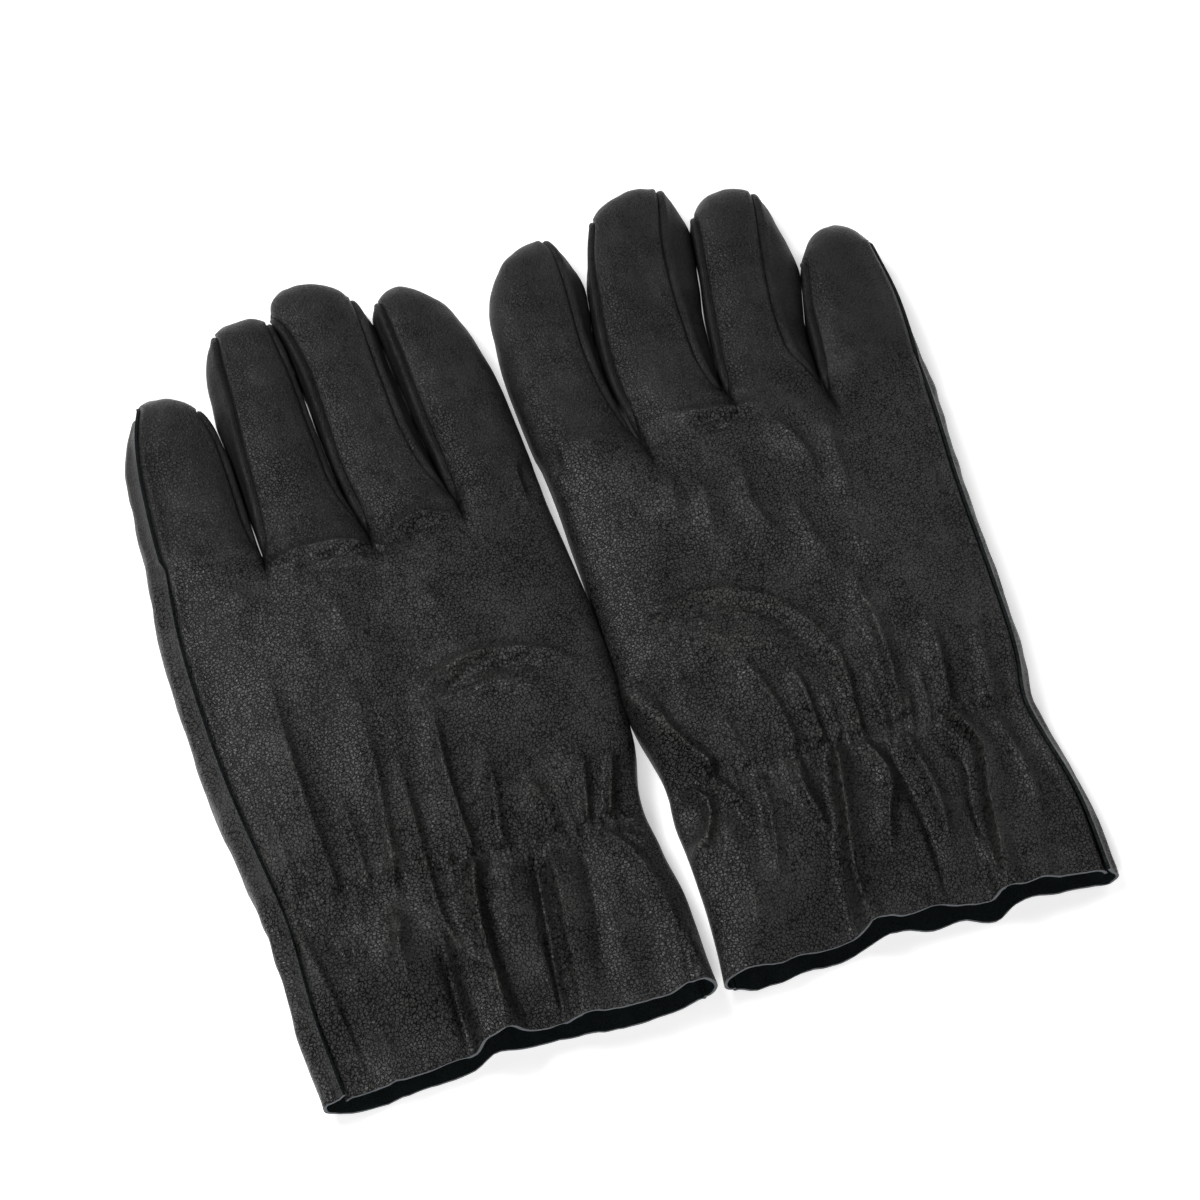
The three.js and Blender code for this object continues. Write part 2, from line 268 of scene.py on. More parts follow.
MIDDLE = np.array((-0.25, -1.1))  # moves the pair over the origin
THICKNESS = 0.9
GLOVES = {
    "left": {
        "outer": "left",
        "left": [(-129, -109), (-110, -110.7), (-73, -111.8), (-65, -113), (-36, -117), (-13, -118.7),
                 (14, -119.3), (38, -117.7)],
        "right": [(-129, -2.4), (-102, -1.2), (-86, -3), (-73, -5), (-52, -1.4), (-36, -0.7), (-13, -0.3),
                  (23, -1.6), (40, -2.0)],
        "side_seam": 5.8,
        "crotches": [(-84.6, 34), (-54, 32), (-27, 35)],
        "ends": [36, 37],
        "fingers": {
            "little": dict(
                knuckle=(-101, 36.5), tip=(-101.2, 97.5), lean=0,
                left=[(0, 16.7), (20, 16.4), (40, 14.6), (47, 12.8), (54, 10), (58.2, 7.2), (60.2, 4),
                      (61, 0)],
                right=[(0, 15.6), (8, 15.6), (25, 15.2), (40, 14.2), (46, 13.2), (51.5, 11.2), (56, 8.2),
                       (59, 5), (61, 0)],
                left_seam=[(0, 12.1), (20, 11.8), (40, 10.3), (48, 8.9), (56, 6.6)],
                right_seam=[(0, 15), (8, 14), (25, 13.5), (42, 12.4), (52, 10)]),
            "ring": dict(
                knuckle=(-68.9, 36.5), tip=(-74, 118), lean=-0.5,
                left=[(0, 15.2), (8, 15.2), (30, 14.6), (54, 14.4), (63.5, 13.4), (72, 10.8), (78, 7),
                      (80.8, 4), (81.7, 0.5)],
                right=[(0, 14.0), (6, 12.6), (30, 11.3), (54, 11.7), (70, 11.9), (76, 10.4), (79.5, 7.3),
                       (81.1, 3.9), (81.7, -0.5)],
                left_seam=[(0, 14.6), (12, 12.8), (33, 10.8), (51, 8.8), (66, 7.6), (74, 6.4)],
                right_seam=[(0, 13.4), (10, 10.4), (30, 9.8), (54, 10.3), (76, 9.6)]),
            "middle": dict(
                knuckle=(-40, 37.5), tip=(-49.7, 126.4), lean=-5.5,
                left=[(0, 14.2), (6, 15.4), (23, 15.7), (44, 14.4), (64, 13.4), (80, 13.6), (84.2, 12.6),
                      (87.6, 9.7), (89.4, 5.5)],
                right=[(0, 11.8), (8, 11.2), (18, 11.2), (36, 11.6), (55, 12.4), (67, 12.8), (75.9, 11.3),
                       (80, 9.4), (84, 6.3), (87.6, 0.8), (89.4, -5.5)],
                left_seam=[(0, 13.8), (22, 14), (40, 12.2), (61, 11), (72, 11.8), (80, 13.6)],
                right_seam=[(0, 11), (9, 8.2), (24, 6.8), (41, 7.8), (54, 8.8), (66, 9.9), (78, 10.5)]),
            "index": dict(
                knuckle=(-13.9, 38.5), tip=(-22.9, 116.5), lean=-2,
                left=[(0, 13.6), (8, 13.8), (17, 13.7), (35, 13.1), (52, 12.3), (64, 12), (70.4, 11),
                      (75, 8.2), (77.5, 5.2), (78.5, 2)],
                right=[(0, 11.9), (17, 13.1), (34, 14.0), (46, 13.8), (57, 12.6), (64.7, 10.8),
                       (72.5, 6.4), (76.8, 2.2), (78.5, -2)],
                left_seam=[(0, 13), (16, 11.9), (36, 10.8), (52, 9.4), (64, 8.6), (72, 8)],
                right_seam=None),
        },
    },
    "right": {
        "outer": "right",
        "left": [(-129, 0.9), (-97, 2.4), (-81, 2.4), (-67, 3.4), (-52, 1.2), (-13, 1.3), (22, 0.5),
                 (44, -0.6)],
        "right": [(-129, 112.5), (-103, 112.8), (-83, 110.5), (-71, 109.5), (-60, 111.5), (-33, 113.5),
                  (1, 115.7),
                  (29, 118.5), (44, 119.4)],
        "side_seam": 3.2,
        "crotches": [(30.2, 38), (58.8, 47), (87.6, 39)],
        "ends": [41, 42],
        "fingers": {
            "index": dict(
                knuckle=(14.9, 42.5), tip=(18.6, 120.9), lean=2,
                left=[(0, 15.8), (18, 17.4), (28, 18.0), (46, 17.9), (57.4, 16.4), (62.7, 14.6),
                      (69.4, 10.9), (74.6, 5.8), (77.6, 0.9), (78.5, -2)],
                right=[(0, 13.4), (8, 11.8), (20, 10.2), (37, 10.6), (50, 12.4), (58, 12.5), (65.6, 11.1),
                       (73, 8.6), (76.1, 6.4), (77.8, 4), (78.5, 2)],
                left_seam=None,
                right_seam=[(0, 12.4), (8, 10), (18, 7.8), (33, 6.4), (46, 6.6), (58, 6.8), (69, 6.3),
                            (76, 4.5)]),
            "middle": dict(
                knuckle=(45, 48.5), tip=(52.7, 131), lean=4,
                left=[(0, 15.6), (8, 18.0), (18, 19.3), (32, 19.8), (46, 18.4), (58, 16.4), (67, 14.4),
                      (74.5, 11.4), (77.4, 9), (80.6, 3.4), (82.3, -1.5), (82.9, -4)],
                right=[(0, 13.2), (6, 12.8), (14, 12.8), (32, 13.2), (56, 16.0), (66, 15.6), (72, 14.5),
                       (77.5, 12.6), (80.6, 10), (82.2, 7.2), (82.9, 4)],
                left_seam=[(0, 15), (8, 16.6), (25, 17.4), (40, 16.6), (58, 14.8), (70, 12)],
                right_seam=[(0, 12.2), (5, 9.6), (11, 7.8), (28, 6.2), (43, 5.9), (58, 6.8), (74, 9.2),
                            (80, 9.8)]),
            "ring": dict(
                knuckle=(74, 48.5), tip=(81.4, 122.7), lean=2,
                left=[(0, 14.8), (10, 15.4), (24, 14.9), (40, 13.6), (56, 12.6), (63.8, 11.2), (69.1, 8.8),
                      (72, 6), (73.8, 1.6), (74.5, -2)],
                right=[(0, 13.2), (6, 12.6), (13, 12.6), (27, 14.6), (40, 16.2), (50, 15.4), (58.7, 13.6),
                       (66, 11.6), (70, 9.4), (72.8, 6.4), (74.5, 2)],
                left_seam=[(0, 14.3), (10, 14.2), (26, 13.3), (41, 12.2), (60, 10.6)],
                right_seam=[(0, 9.8), (6, 6.2), (14, 4.8), (23, 4.5), (45, 6.1), (64, 8.2), (71, 8.4)]),
            "little": dict(
                knuckle=(103.7, 43.5), tip=(108.3, 99.7), lean=0,
                left=[(0, 15.8), (8, 16.0), (18, 16.0), (32, 13.7), (44.6, 10.9), (49.9, 8.7), (54.2, 5.2),
                      (55.8, 2.4), (56.4, 0)],
                right=[(0, 15.3), (12, 15.0), (24, 14.2), (39.6, 12), (45.5, 11), (50.6, 8.8), (54, 5.8),
                       (55.7, 2.8), (56.4, 0)],
                left_seam=[(0, 15.3), (8, 14.6), (27, 13.4), (41, 11)],
                right_seam=[(0, 12.3), (12, 12.8), (24, 12.8), (45, 10.4)]),
        },
    },
}
FINGER_ORDER = {"left": ("little", "ring", "middle", "index"), "right": ("index", "middle", "ring", "little")}
ROOT_ROW = 2.6  # a finger's own leather starts this far past its knuckle
FINGER_HEIGHT = [(0, 15.0), (0.5, 14.2), (1, 12.0)]  # at shares of its length
FINGER_EDGE = 5.0  # height of the line where a finger is widest
UNDERSIDE = 0.15  # height of the skin that rests on the table
TIP_LENGTH = 12.0  # a finger closes over this last stretch


def ease(x):
    x = np.clip(x, 0, 1)
    return x * x * (3 - 2 * x)


def curve_through(pairs, at):
    """A smooth curve through (position, value) pairs."""
    xs, ys = np.array(pairs, float).T
    slopes = np.gradient(ys, xs)
    at = np.clip(np.asarray(at, float), xs[0], xs[-1])
    i = np.clip(np.searchsorted(xs, at, side="right") - 1, 0, len(xs) - 2)
    h = xs[i + 1] - xs[i]
    t = (at - xs[i]) / h
    return ((2 * t**3 - 3 * t**2 + 1) * ys[i] + (t**3 - 2 * t**2 + t) * h * slopes[i]
            + (-2 * t**3 + 3 * t**2) * ys[i + 1] + (t**3 - t**2) * h * slopes[i + 1])


def side_angle(half, inset, power):
    """The angle round a section at which a point lies inset from its edge."""
    share = np.clip(1 - inset / np.maximum(half, 1e-3), 0, 1)
    return np.arcsin(share ** (power / 2))


def section(angle, left, right, top, edge, bottom, power):
    """Across and up, at an angle from -180 (under) through -90 (left edge), 0 (top), 90 to 180."""
    half = np.where(angle < 0, left, right)
    s, c = np.abs(np.sin(angle)) ** (2 / power), np.abs(np.cos(angle)) ** (2 / power)
    up = np.where(np.abs(angle) <= math.pi / 2, edge + (top - edge) * c, edge - (edge - bottom) * c)
    return np.sign(angle) * half * s, up


class Finger:
    """Where a finger's leather lies: points at a distance along it and an angle round it."""

    def __init__(self, lay):
        self.knuckle, tip = np.array(lay["knuckle"], float), np.array(lay["tip"], float)
        self.length = np.linalg.norm(tip - self.knuckle)
        self.along = (tip - self.knuckle) / self.length
        self.across = np.array((self.along[1], -self.along[0]))
        self.lay, self.roll, self.power = lay, 16.0, 2.7
        self.fill = {"left": [(0, 0), (self.length, 0)], "right": [(0, 0), (self.length, 0)]}

    def middle(self, s):
        return self.lay["lean"] * ease((s - self.length + 30) / 30)

    def edge(self, side, s):
        """Distance from the middle of the section to its edge, and how far in from there the seam lies."""
        sign = -1 if side == "left" else 1
        s = np.minimum(s, self.length)
        pairs = np.array(self.lay[side], float)
        pairs[:, 0] *= self.length / pairs[-1, 0]
        halves = np.maximum(pairs[:, 1] - sign * self.middle(pairs[:, 0]), 0)
        half = np.sqrt(np.maximum(curve_through(np.stack([pairs[:, 0], halves**2], 1), s), 0))
        half = half + np.interp(s, *np.array(self.fill[side]).T)
        seam = self.lay[side + "_seam"]
        if seam is None:  # the index side is folded, not sewn
            return half, np.minimum(6.0, half * 0.42)
        return half, half - np.clip(curve_through(seam, s) - sign * self.middle(s), 0, half)

    def under_inset(self, side, s):
        return np.minimum(2.6, self.edge(side, s)[0] * 0.35)

    def heights(self, s):
        top = curve_through(FINGER_HEIGHT, s / self.length)
        t = np.clip((s - self.length + TIP_LENGTH) / TIP_LENGTH, 0, 1)
        bulge = np.sqrt(1 - (t * 0.9995) ** 2.2)
        edge = FINGER_EDGE + 0 * s
        return edge + (top - edge) * bulge, edge, edge - (edge - UNDERSIDE) * bulge

    def seam(self, side, s, under=False):
        half, inset = self.edge(side, s)
        if under:
            return math.pi - side_angle(half, self.under_inset(side, s), self.power)
        return side_angle(half, inset, self.power)

    def point(self, s, angle):
        left, _ = self.edge("left", s)
        right, _ = self.edge("right", s)
        across, up = section(angle, left, right, *self.heights(s), self.power)
        across = across + self.middle(s)
        plan = self.knuckle + np.multiply.outer(s, self.along) + np.multiply.outer(across, self.across)
        return np.concatenate([plan, up[..., None]], -1)


def facing_edge(finger, side):
    s = np.arange(0, finger.length - 3, 1.0)
    half = finger.edge(side, s)[0]
    across = finger.middle(s) + (half if side == "right" else -half)
    return s, finger.knuckle + s[:, None] * finger.along + across[:, None] * finger.across


# Fingers that lie close together swell until they all but touch.
FINGERS = {}
for which, lay in GLOVES.items():
    row = [Finger(lay["fingers"][name]) for name in FINGER_ORDER[which]]
    FINGERS[which] = dict(zip(FINGER_ORDER[which], row))
    for a, b in zip(row[:-1], row[1:]):
        (sa, pa), (sb, pb) = facing_edge(a, "right"), facing_edge(b, "left")
        for finger, side, s, mine, other in ((a, "right", sa, pa, pb), (b, "left", sb, pb, pa)):
            gap = np.abs(np.interp(mine[:, 1], other[:, 1], other[:, 0]) - mine[:, 0])
            gap = np.where(mine[:, 1] > other[-1, 1], 9, gap)
            share = np.where(gap < 1.6, 1.0, np.clip((3.2 - gap) / 1.6, 0, 1))
            swell = np.clip(gap / 2 - 0.08, -0.3, 1.2) * share * ease(s / 3)
            swell = np.convolve(np.pad(swell, 3, mode="edge"), np.ones(7) / 7, "valid")
            finger.fill[side] = list(zip(s, swell)) + [(finger.length, 0)]


def finger_rows(finger, start):
    """Distances along a finger, closer together round its tip."""
    straight = np.arange(start, finger.length - finger.roll, 0.85)
    turn = np.linspace(0, 1, 26) * math.pi / 2
    return np.concatenate([straight, finger.length - finger.roll + finger.roll * np.sin(turn)])


# Folds. The elastic draws in the wrist, so the skin stands in crests above and below it, the cuff hangs
# in flutes, and the thumb folded underneath prints its seam on the back.


def value_noise(x, y, scale, seed, stretch=1.0):
    """Smooth unevenness from -1 to 1 over lengths of about scale, longer along the glove by stretch."""
    lattice = np.random.RandomState(seed).uniform(-1, 1, (97, 97))
    u, v = np.asarray(x) / scale + 40.3, np.asarray(y) / (scale * stretch) + 40.7
    i, j = np.floor(u).astype(int), np.floor(v).astype(int)
    fu, fv = ease(u - i), ease(v - j)
    i, j = i % 96, j % 96
    low = lattice[i, j] * (1 - fu) + lattice[i + 1, j] * fu
    high = lattice[i, j + 1] * (1 - fu) + lattice[i + 1, j + 1] * fu
    return low * (1 - fv) + high * fv


def crest(x, y, points, height, left, right, ends=(0.25, 0.25)):
    """The height of a crest (or a valley, if negative) that follows a line of points, with its own width
    to the left and to the right of the line and the shares of its length over which it dies out; and its very
    top, a narrow line that the callers polish and paint lighter as a highlight."""
    line = np.array(points, float)
    along = np.concatenate([[0], np.cumsum(np.hypot(*np.diff(line, axis=0).T))])
    fine = np.linspace(0, along[-1], max(6, int(along[-1] / 3)))
    line = np.stack([curve_through(np.stack([along, line[:, k]], 1), fine) for k in (0, 1)], 1)
    reach = 4 * max(left, right)
    low, high = line.min(0) - reach, line.max(0) + reach
    near = (x > low[0]) & (x < high[0]) & (y > low[1]) & (y < high[1])
    result = np.zeros(np.shape(x))
    px, py = x[near], y[near]
    best = np.full(px.shape, 1e9)
    offset, place = np.zeros(px.shape), np.zeros(px.shape)
    for a, b, start in zip(line[:-1], line[1:], fine):
        d = b - a
        size = np.hypot(*d)
        t = np.clip(((px - a[0]) * d[0] + (py - a[1]) * d[1]) / size**2, 0, 1)
        gap = np.hypot(px - a[0] - t * d[0], py - a[1] - t * d[1])
        side = (px - a[0]) * d[1] - (py - a[1]) * d[0]
        closer = gap < best
        best = np.where(closer, gap, best)
        offset = np.where(closer, np.sign(side) * gap, offset)
        place = np.where(closer, (start + t * size) / along[-1], place)
    width = np.where(offset * (line[-1, 1] - line[0, 1]) < 0, left, right)
    profile = np.exp(-(np.abs(offset) / width) ** 1.3)
    fade = ease(place / max(ends[0], 1e-3)) * ease((1 - place) / max(ends[1], 1e-3))
    result[near] = height * profile * fade
    top = np.zeros(np.shape(x))
    top[near] = np.exp(-(best / 0.9) ** 2) * fade * min(max(height, 0), 2.5) / 2.5
    return result, top


WRIST = {"left": -75.2, "right": -71.8}
FOLD_HEIGHT = 1.45  # how many times taller a fold stands than it is written below
# A fold is its points, its height (a valley's is negative), its width to the left and to the right, and
# the shares of its length over which it dies out at each end.
FOLDS = {
    "left": [
        # crests that rise from the gathers up the back of the hand
        ([(-92, 6), (-93, -28), (-92, -58), (-90.5, -76)], 2.6, 4.5, 2.2, (0.6, 0.04)),
        ([(-71, -12), (-72, -44), (-75, -77)], 2.4, 4.0, 2.0, (0.6, 0.04)),
        ([(-65, -36), (-66, -62), (-66, -77), (-65.9, -92), (-62.6, -103), (-57, -111)],
          2.8, 3.6, 1.9, (0.35, 0.25)),
        ([(-51, -24), (-54, -52), (-53, -75)], 2.6, 3.2, 1.7, (0.5, 0.04)),
        ([(-41, -45), (-45, -75)], 2.3, 3.0, 1.8, (0.45, 0.04)),
        ([(-34, -55), (-29.5, -74)], 1.7, 1.6, 2.4, (0.5, 0.05)),
        ([(-16, -52), (-21, -74)], 2.2, 2.4, 1.5, (0.45, 0.04)),
        ([(-8, -54), (-14.5, -74)], 2.2, 2.4, 1.6, (0.45, 0.04)),
        ([(-103, -36), (-101, -75)], 1.3, 2.6, 2.6, (0.6, 0.1)),
        ([(-83, -46), (-82, -75)], 1.3, 2.6, 1.8, (0.5, 0.08)),
        ([(-60, -56), (-60, -76)], 1.2, 2.0, 1.6, (0.6, 0.08)),
        # flutes of the cuff
        ([(-59, -78), (-54.5, -77), (-55.5, -86), (-57, -98), (-57.5, -112), (-58.5, -131)],
          5.0, 4.2, 2.0, (0.12, 0)),
        ([(-52.5, -80), (-54, -98), (-54.5, -131)], -1.6, 1.6, 2.6, (0.12, 0)),
        ([(-37, -76), (-39, -94), (-44, -131)], -2.8, 2.6, 1.5, (0.12, 0)),
        ([(-33, -76), (-34.5, -94), (-39, -131)], 2.0, 1.4, 6.0, (0.15, 0)),
        ([(-19, -76), (-12, -86), (-8.5, -100), (-6.5, -118), (-6.5, -131)], 3.0, 3.6, 3.2, (0.1, 0)),
        ([(-66.5, -84), (-67.6, -100), (-69.8, -131)], -3.0, 3.2, 2.4, (0.4, 0)),
        ([(-78, -78), (-79, -98), (-80, -131)], 2.0, 4.0, 4.0, (0.2, 0)),
        ([(-105, -77), (-102, -90), (-98, -112), (-95, -131)], 2.4, 3.4, 2.0, (0.12, 0)),
        ([(-97, -79), (-93, -95), (-89, -118)], -1.4, 2.2, 3.0, (0.2, 0.3)),
        ([(-90, -86), (-92, -100), (-88, -124)], 1.5, 2.0, 2.4, (0.25, 0.2)),
        ([(-75, -84), (-83, -104)], 1.2, 2.0, 2.4, (0.3, 0.4)),
        ([(-46, -78), (-47, -96)], 1.3, 2.0, 2.6, (0.15, 0.6)),
        ([(-24, -76), (-26, -98), (-31, -124)], -1.5, 2.6, 2.6, (0.15, 0.3)),
        ([(-7, -78), (-11, -74), (-15, -70)], 0.9, 1.6, 2.2, (0.3, 0.3)),
        ([(-6, -84), (-13, -79)], 0.7, 1.4, 1.6, (0.3, 0.3)),
        # the fold that crosses the knuckles
        ([(-89, 27.0), (-76, 28.6), (-62, 27.6), (-51, 25)], 2.1, 3.6, 1.8, (0.35, 0.2)),
        ([(-79, 25.6), (-62, 24.4), (-49, 21.8)], -1.3, 1.2, 1.5, (0.4, 0.3)),
        ([(-51, 26.5), (-44, 30.0), (-29, 29.5)], 1.7, 2.8, 1.7, (0.3, 0.4)),
        ([(-51, 23.4), (-43, 26.8), (-30, 26.4)], -1.1, 1.2, 1.4, (0.35, 0.45)),
        ([(-71, 20.5), (-57, 19.6)], -0.8, 1.0, 1.4, (0.4, 0.4)),
        ([(-98, 25), (-90, 12)], 1.2, 3.4, 3.4, (0.4, 0.4)),
        ([(-55, 16), (-40, 21)], 0.9, 2.2, 1.6, (0.4, 0.4)),
        ([(-70, 16), (-68, -10)], 0.9, 3.6, 3.0, (0.5, 0.5)),
        ([(-47, 12), (-40, -8)], 0.8, 4.0, 3.0, (0.5, 0.5)),
        # the seam of the thumb underneath
        ([(-59, -34), (-52, -24), (-42, -20), (-33, -19.3), (-25, -20.8), (-14, -25), (-6, -34)],
          2.0, 5.0, 2.4, (0.4, 0.35)),
        ([(-55, -33), (-48, -26.5), (-40, -23.6), (-33, -23.4), (-25, -25.0), (-15, -30)],
          -1.3, 1.8, 3.2, (0.4, 0.4)),
        ([(-46, -33), (-30, -30), (-16, -38)], 1.3, 5.0, 6.0, (0.35, 0.35)),
        ([(-50, -58), (-28, -64), (-10, -52)], 1.3, 4.0, 4.0, (0.4, 0.4)),
    ],
    "right": [
        ([(0, -30), (5, -48), (11, -62), (17, -71)], 3.6, 3.6, 2.8, (0.4, 0.08)),
        ([(31, -34), (38, -58), (40, -71)], 2.0, 3.0, 2.2, (0.5, 0.05)),
        ([(46, -44), (47, -71)], 2.6, 2.2, 1.7, (0.5, 0.04)),
        ([(52, -54), (52, -71)], 1.5, 1.4, 1.6, (0.5, 0.06)),
        ([(60, -44), (58, -71)], 2.2, 3.0, 1.6, (0.5, 0.05)),
        ([(71, -20), (72, -46), (70.5, -70)], 2.4, 1.8, 3.2, (0.5, 0.04)),
        ([(78, -8), (79, -26)], 1.3, 1.6, 2.6, (0.4, 0.4)),
        ([(88, -38), (84, -71)], 2.6, 2.8, 1.7, (0.5, 0.04)),
        ([(101, -42), (96, -72)], 2.1, 2.8, 1.7, (0.5, 0.05)),
        ([(22, -52), (26, -71)], 1.4, 2.0, 2.0, (0.5, 0.06)),
        ([(66, -52), (65, -71)], 1.3, 1.8, 1.8, (0.5, 0.06)),
        ([(79, -52), (78, -72)], 1.2, 1.6, 1.6, (0.5, 0.06)),
        # flutes of the cuff
        ([(6, -72), (11.5, -77), (10, -85), (3, -94)], 3.2, 2.2, 2.2, (0.15, 0.25)),
        ([(15, -73), (20, -79), (22, -90)], 1.8, 1.6, 2.0, (0.15, 0.4)),
        ([(28, -73), (26.5, -88), (22, -108)], 2.0, 2.2, 3.0, (0.12, 0.4)),
        ([(37, -72), (38, -84), (41, -100)], 2.4, 1.6, 3.0, (0.1, 0.4)),
        ([(49.5, -71), (46.5, -88), (42.6, -108), (43, -131)], 4.4, 1.2, 5.4, (0.1, 0)),
        ([(45.5, -73), (42, -90), (38.5, -108), (38.5, -131)], -1.3, 5.0, 2.2, (0.2, 0)),
        ([(56, -71), (61.5, -84), (57, -96), (53, -110)], 2.6, 2.6, 2.2, (0.12, 0.3)),
        ([(64, -72), (66.5, -96), (63, -131)], -2.2, 2.6, 2.4, (0.12, 0)),
        ([(69, -72), (71.5, -90), (70, -112)], 2.0, 1.6, 2.8, (0.12, 0.3)),
        ([(81, -71), (87, -80), (84.5, -98), (79, -131)], 4.2, 1.3, 4.6, (0.06, 0)),
        ([(77, -76), (82.6, -84), (80.5, -98), (75, -131)], -1.4, 3.6, 2.0, (0.2, 0)),
        ([(95, -74), (98, -90), (97, -112)], 1.5, 2.4, 2.4, (0.12, 0.4)),
        ([(14, -80), (15, -104), (12, -131)], 1.2, 5.0, 5.0, (0.2, 0)),
        # the fold that crosses the knuckles
        ([(37, 43.5), (47, 41), (57, 39.6), (68, 40.5)], 1.6, 3.2, 1.8, (0.35, 0.35)),
        ([(38, 40.0), (48, 37.6), (58, 36.2), (68, 37.0)], -1.2, 1.2, 1.5, (0.4, 0.4)),
        ([(44, 34.6), (56, 33.4)], -0.7, 0.9, 1.2, (0.4, 0.4)),
        ([(66, 36), (72, 18), (74, 6)], 1.7, 3.4, 2.0, (0.4, 0.4)),
        ([(82, 34), (80, 8), (78, -8)], 1.5, 3.6, 2.2, (0.4, 0.4)),
        ([(33, 26), (30, 4)], 1.5, 4.4, 2.6, (0.4, 0.4)),
        ([(54, 26), (52, 4), (60, -16)], 1.8, 4.4, 2.4, (0.4, 0.4)),
        # the seam of the thumb underneath
        ([(9, -36), (12, -26), (20, -19.5), (29, -18), (38, -20), (48, -26), (55.5, -37), (59.5, -49),
          (59.5, -62)], 1.5, 5.0, 2.2, (0.2, 0.2)),
        ([(14, -28), (21, -23.4), (29, -22), (37, -24), (45.5, -29.6), (52, -39.5), (55.6, -50),
          (56, -62)], -1.5, 2.2, 4.0, (0.2, 0.2)),
        ([(16, -40), (28, -33), (42, -40), (46, -54)], 1.5, 6.0, 6.0, (0.35, 0.35)),
        ([(41, 22), (38, -6)], 1.5, 5.0, 2.6, (0.4, 0.4)),
        ([(62, 10), (68, -26)], 1.6, 5.0, 2.4, (0.4, 0.4)),
    ],
}
# Where the hem of the back lies, as (x, y, height), and the hem of the palm under it, as (x, y).
HEMS = {
    "left": ([(-109, -129.5, 5), (-102, -128.8, 6.3), (-96, -128.4, 6.2), (-89, -128.2, 7.8),
              (-80, -127.8, 7.0), (-73, -127.2, 7.6),
              (-68.6, -126.8, 7.0), (-66.9, -126.6, 8.2), (-65.4, -126.4, 13.0), (-62, -125.8, 15.2),
               (-58.6, -125.4, 16.4),
              (-56, -125.2, 14.4), (-53.6, -125.4, 10.8), (-48, -126.0, 8.8), (-42.5, -126, 9.4),
               (-40, -126.2, 11.6),
              (-35.5, -126.6, 13.2), (-29, -127.2, 12.0), (-24, -127.6, 12.6), (-15, -127.4, 12),
               (-9, -126.4, 13.8), (-3, -127, 8)],
             [(-109, -129.5), (-103, -131), (-84, -130), (-67, -128), (-62, -125.4), (-55, -126.6),
              (-45, -127), (-20, -129), (-3, -127.4)]),
    "right": ([(0, -126.6, 6), (4, -126, 9.6), (9, -125.8, 10.6), (14, -126.4, 9.6), (22, -125.6, 8.2),
               (28, -125.6, 6.6), (34, -125.2, 6.0),
               (38.6, -124.6, 7.2), (40.6, -124.2, 10.6), (42.6, -123.6, 13.2), (47, -123.2, 12.0),
                (53, -123.8, 10.4), (60, -123.6, 10.8),
               (68, -124.8, 8.8), (74, -125.3, 8.0), (76.4, -125.4, 8.6), (78, -125.0, 12.2),
                (81, -124.8, 13.4), (86, -124.8, 11.8),
               (91, -124.6, 12.4), (98, -125.4, 10.0), (106, -126.0, 8.8), (113, -127.4, 5.4)],
              [(0, -126.6), (8, -129), (22, -128), (36, -127.6), (42, -125.6), (52, -124.0), (60, -126.6),
               (68, -126), (78, -128.6), (84, -125.6), (98, -126.4), (113, -128.6)]),
}
HAND_POWER, HAND_EDGE, PALM_SEAM_IN = 3.3, 5.4, 2.6
HAND_TOPS = {
    "left": [(-130, 11.5), (-100, 13.0), (-76, 12.2), (-66, 15.0), (-45, 18.0), (-15, 17.6), (15, 16.8),
             (40, 15)],
    "right": [(-130, 11.0), (-98, 12.6), (-72, 12.0), (-62, 15.0), (-42, 18.0), (-10, 17.6), (20, 16.8),
              (50, 15)],
}


def hand_edges(lay, y):
    return curve_through(lay["left"], y), curve_through(lay["right"], y)


def hand_seams(lay, y, under=False):
    """How far in from each edge of the hand its seam or fold lies."""
    if under:
        return PALM_SEAM_IN + 0 * y, PALM_SEAM_IN + 0 * y
    seam, fold = lay["side_seam"] + 0 * y, 6 + 0 * y
    return (seam, fold) if lay["outer"] == "left" else (fold, seam)


def thumb_lift(which, x, y):
    """How far the thumb folded underneath holds the palm off the table."""
    lay = GLOVES[which]
    thumb_x = (x + 59 if which == "left" else 57.6 - x)
    across = ease(thumb_x / 7) * ease((52 - thumb_x) / 8)
    return 7.4 * across * ease((y + 72) / 10) * ease((34 - y) / 9)


def hand_height(which, x, y, under=False):
    """The height of the hand's leather over the table at (x, y)."""
    lay = GLOVES[which]
    left, right = hand_edges(lay, y)
    half, centre = (right - left) / 2, (right + left) / 2
    share = np.clip(np.abs(x - centre) / half, 0, 1)
    arch = (1 - share**HAND_POWER) ** (1 / HAND_POWER)
    if under:
        return HAND_EDGE - (HAND_EDGE - UNDERSIDE) * arch + thumb_lift(which, x, y) * arch
    return HAND_EDGE + (curve_through(HAND_TOPS[which], y) - HAND_EDGE) * arch


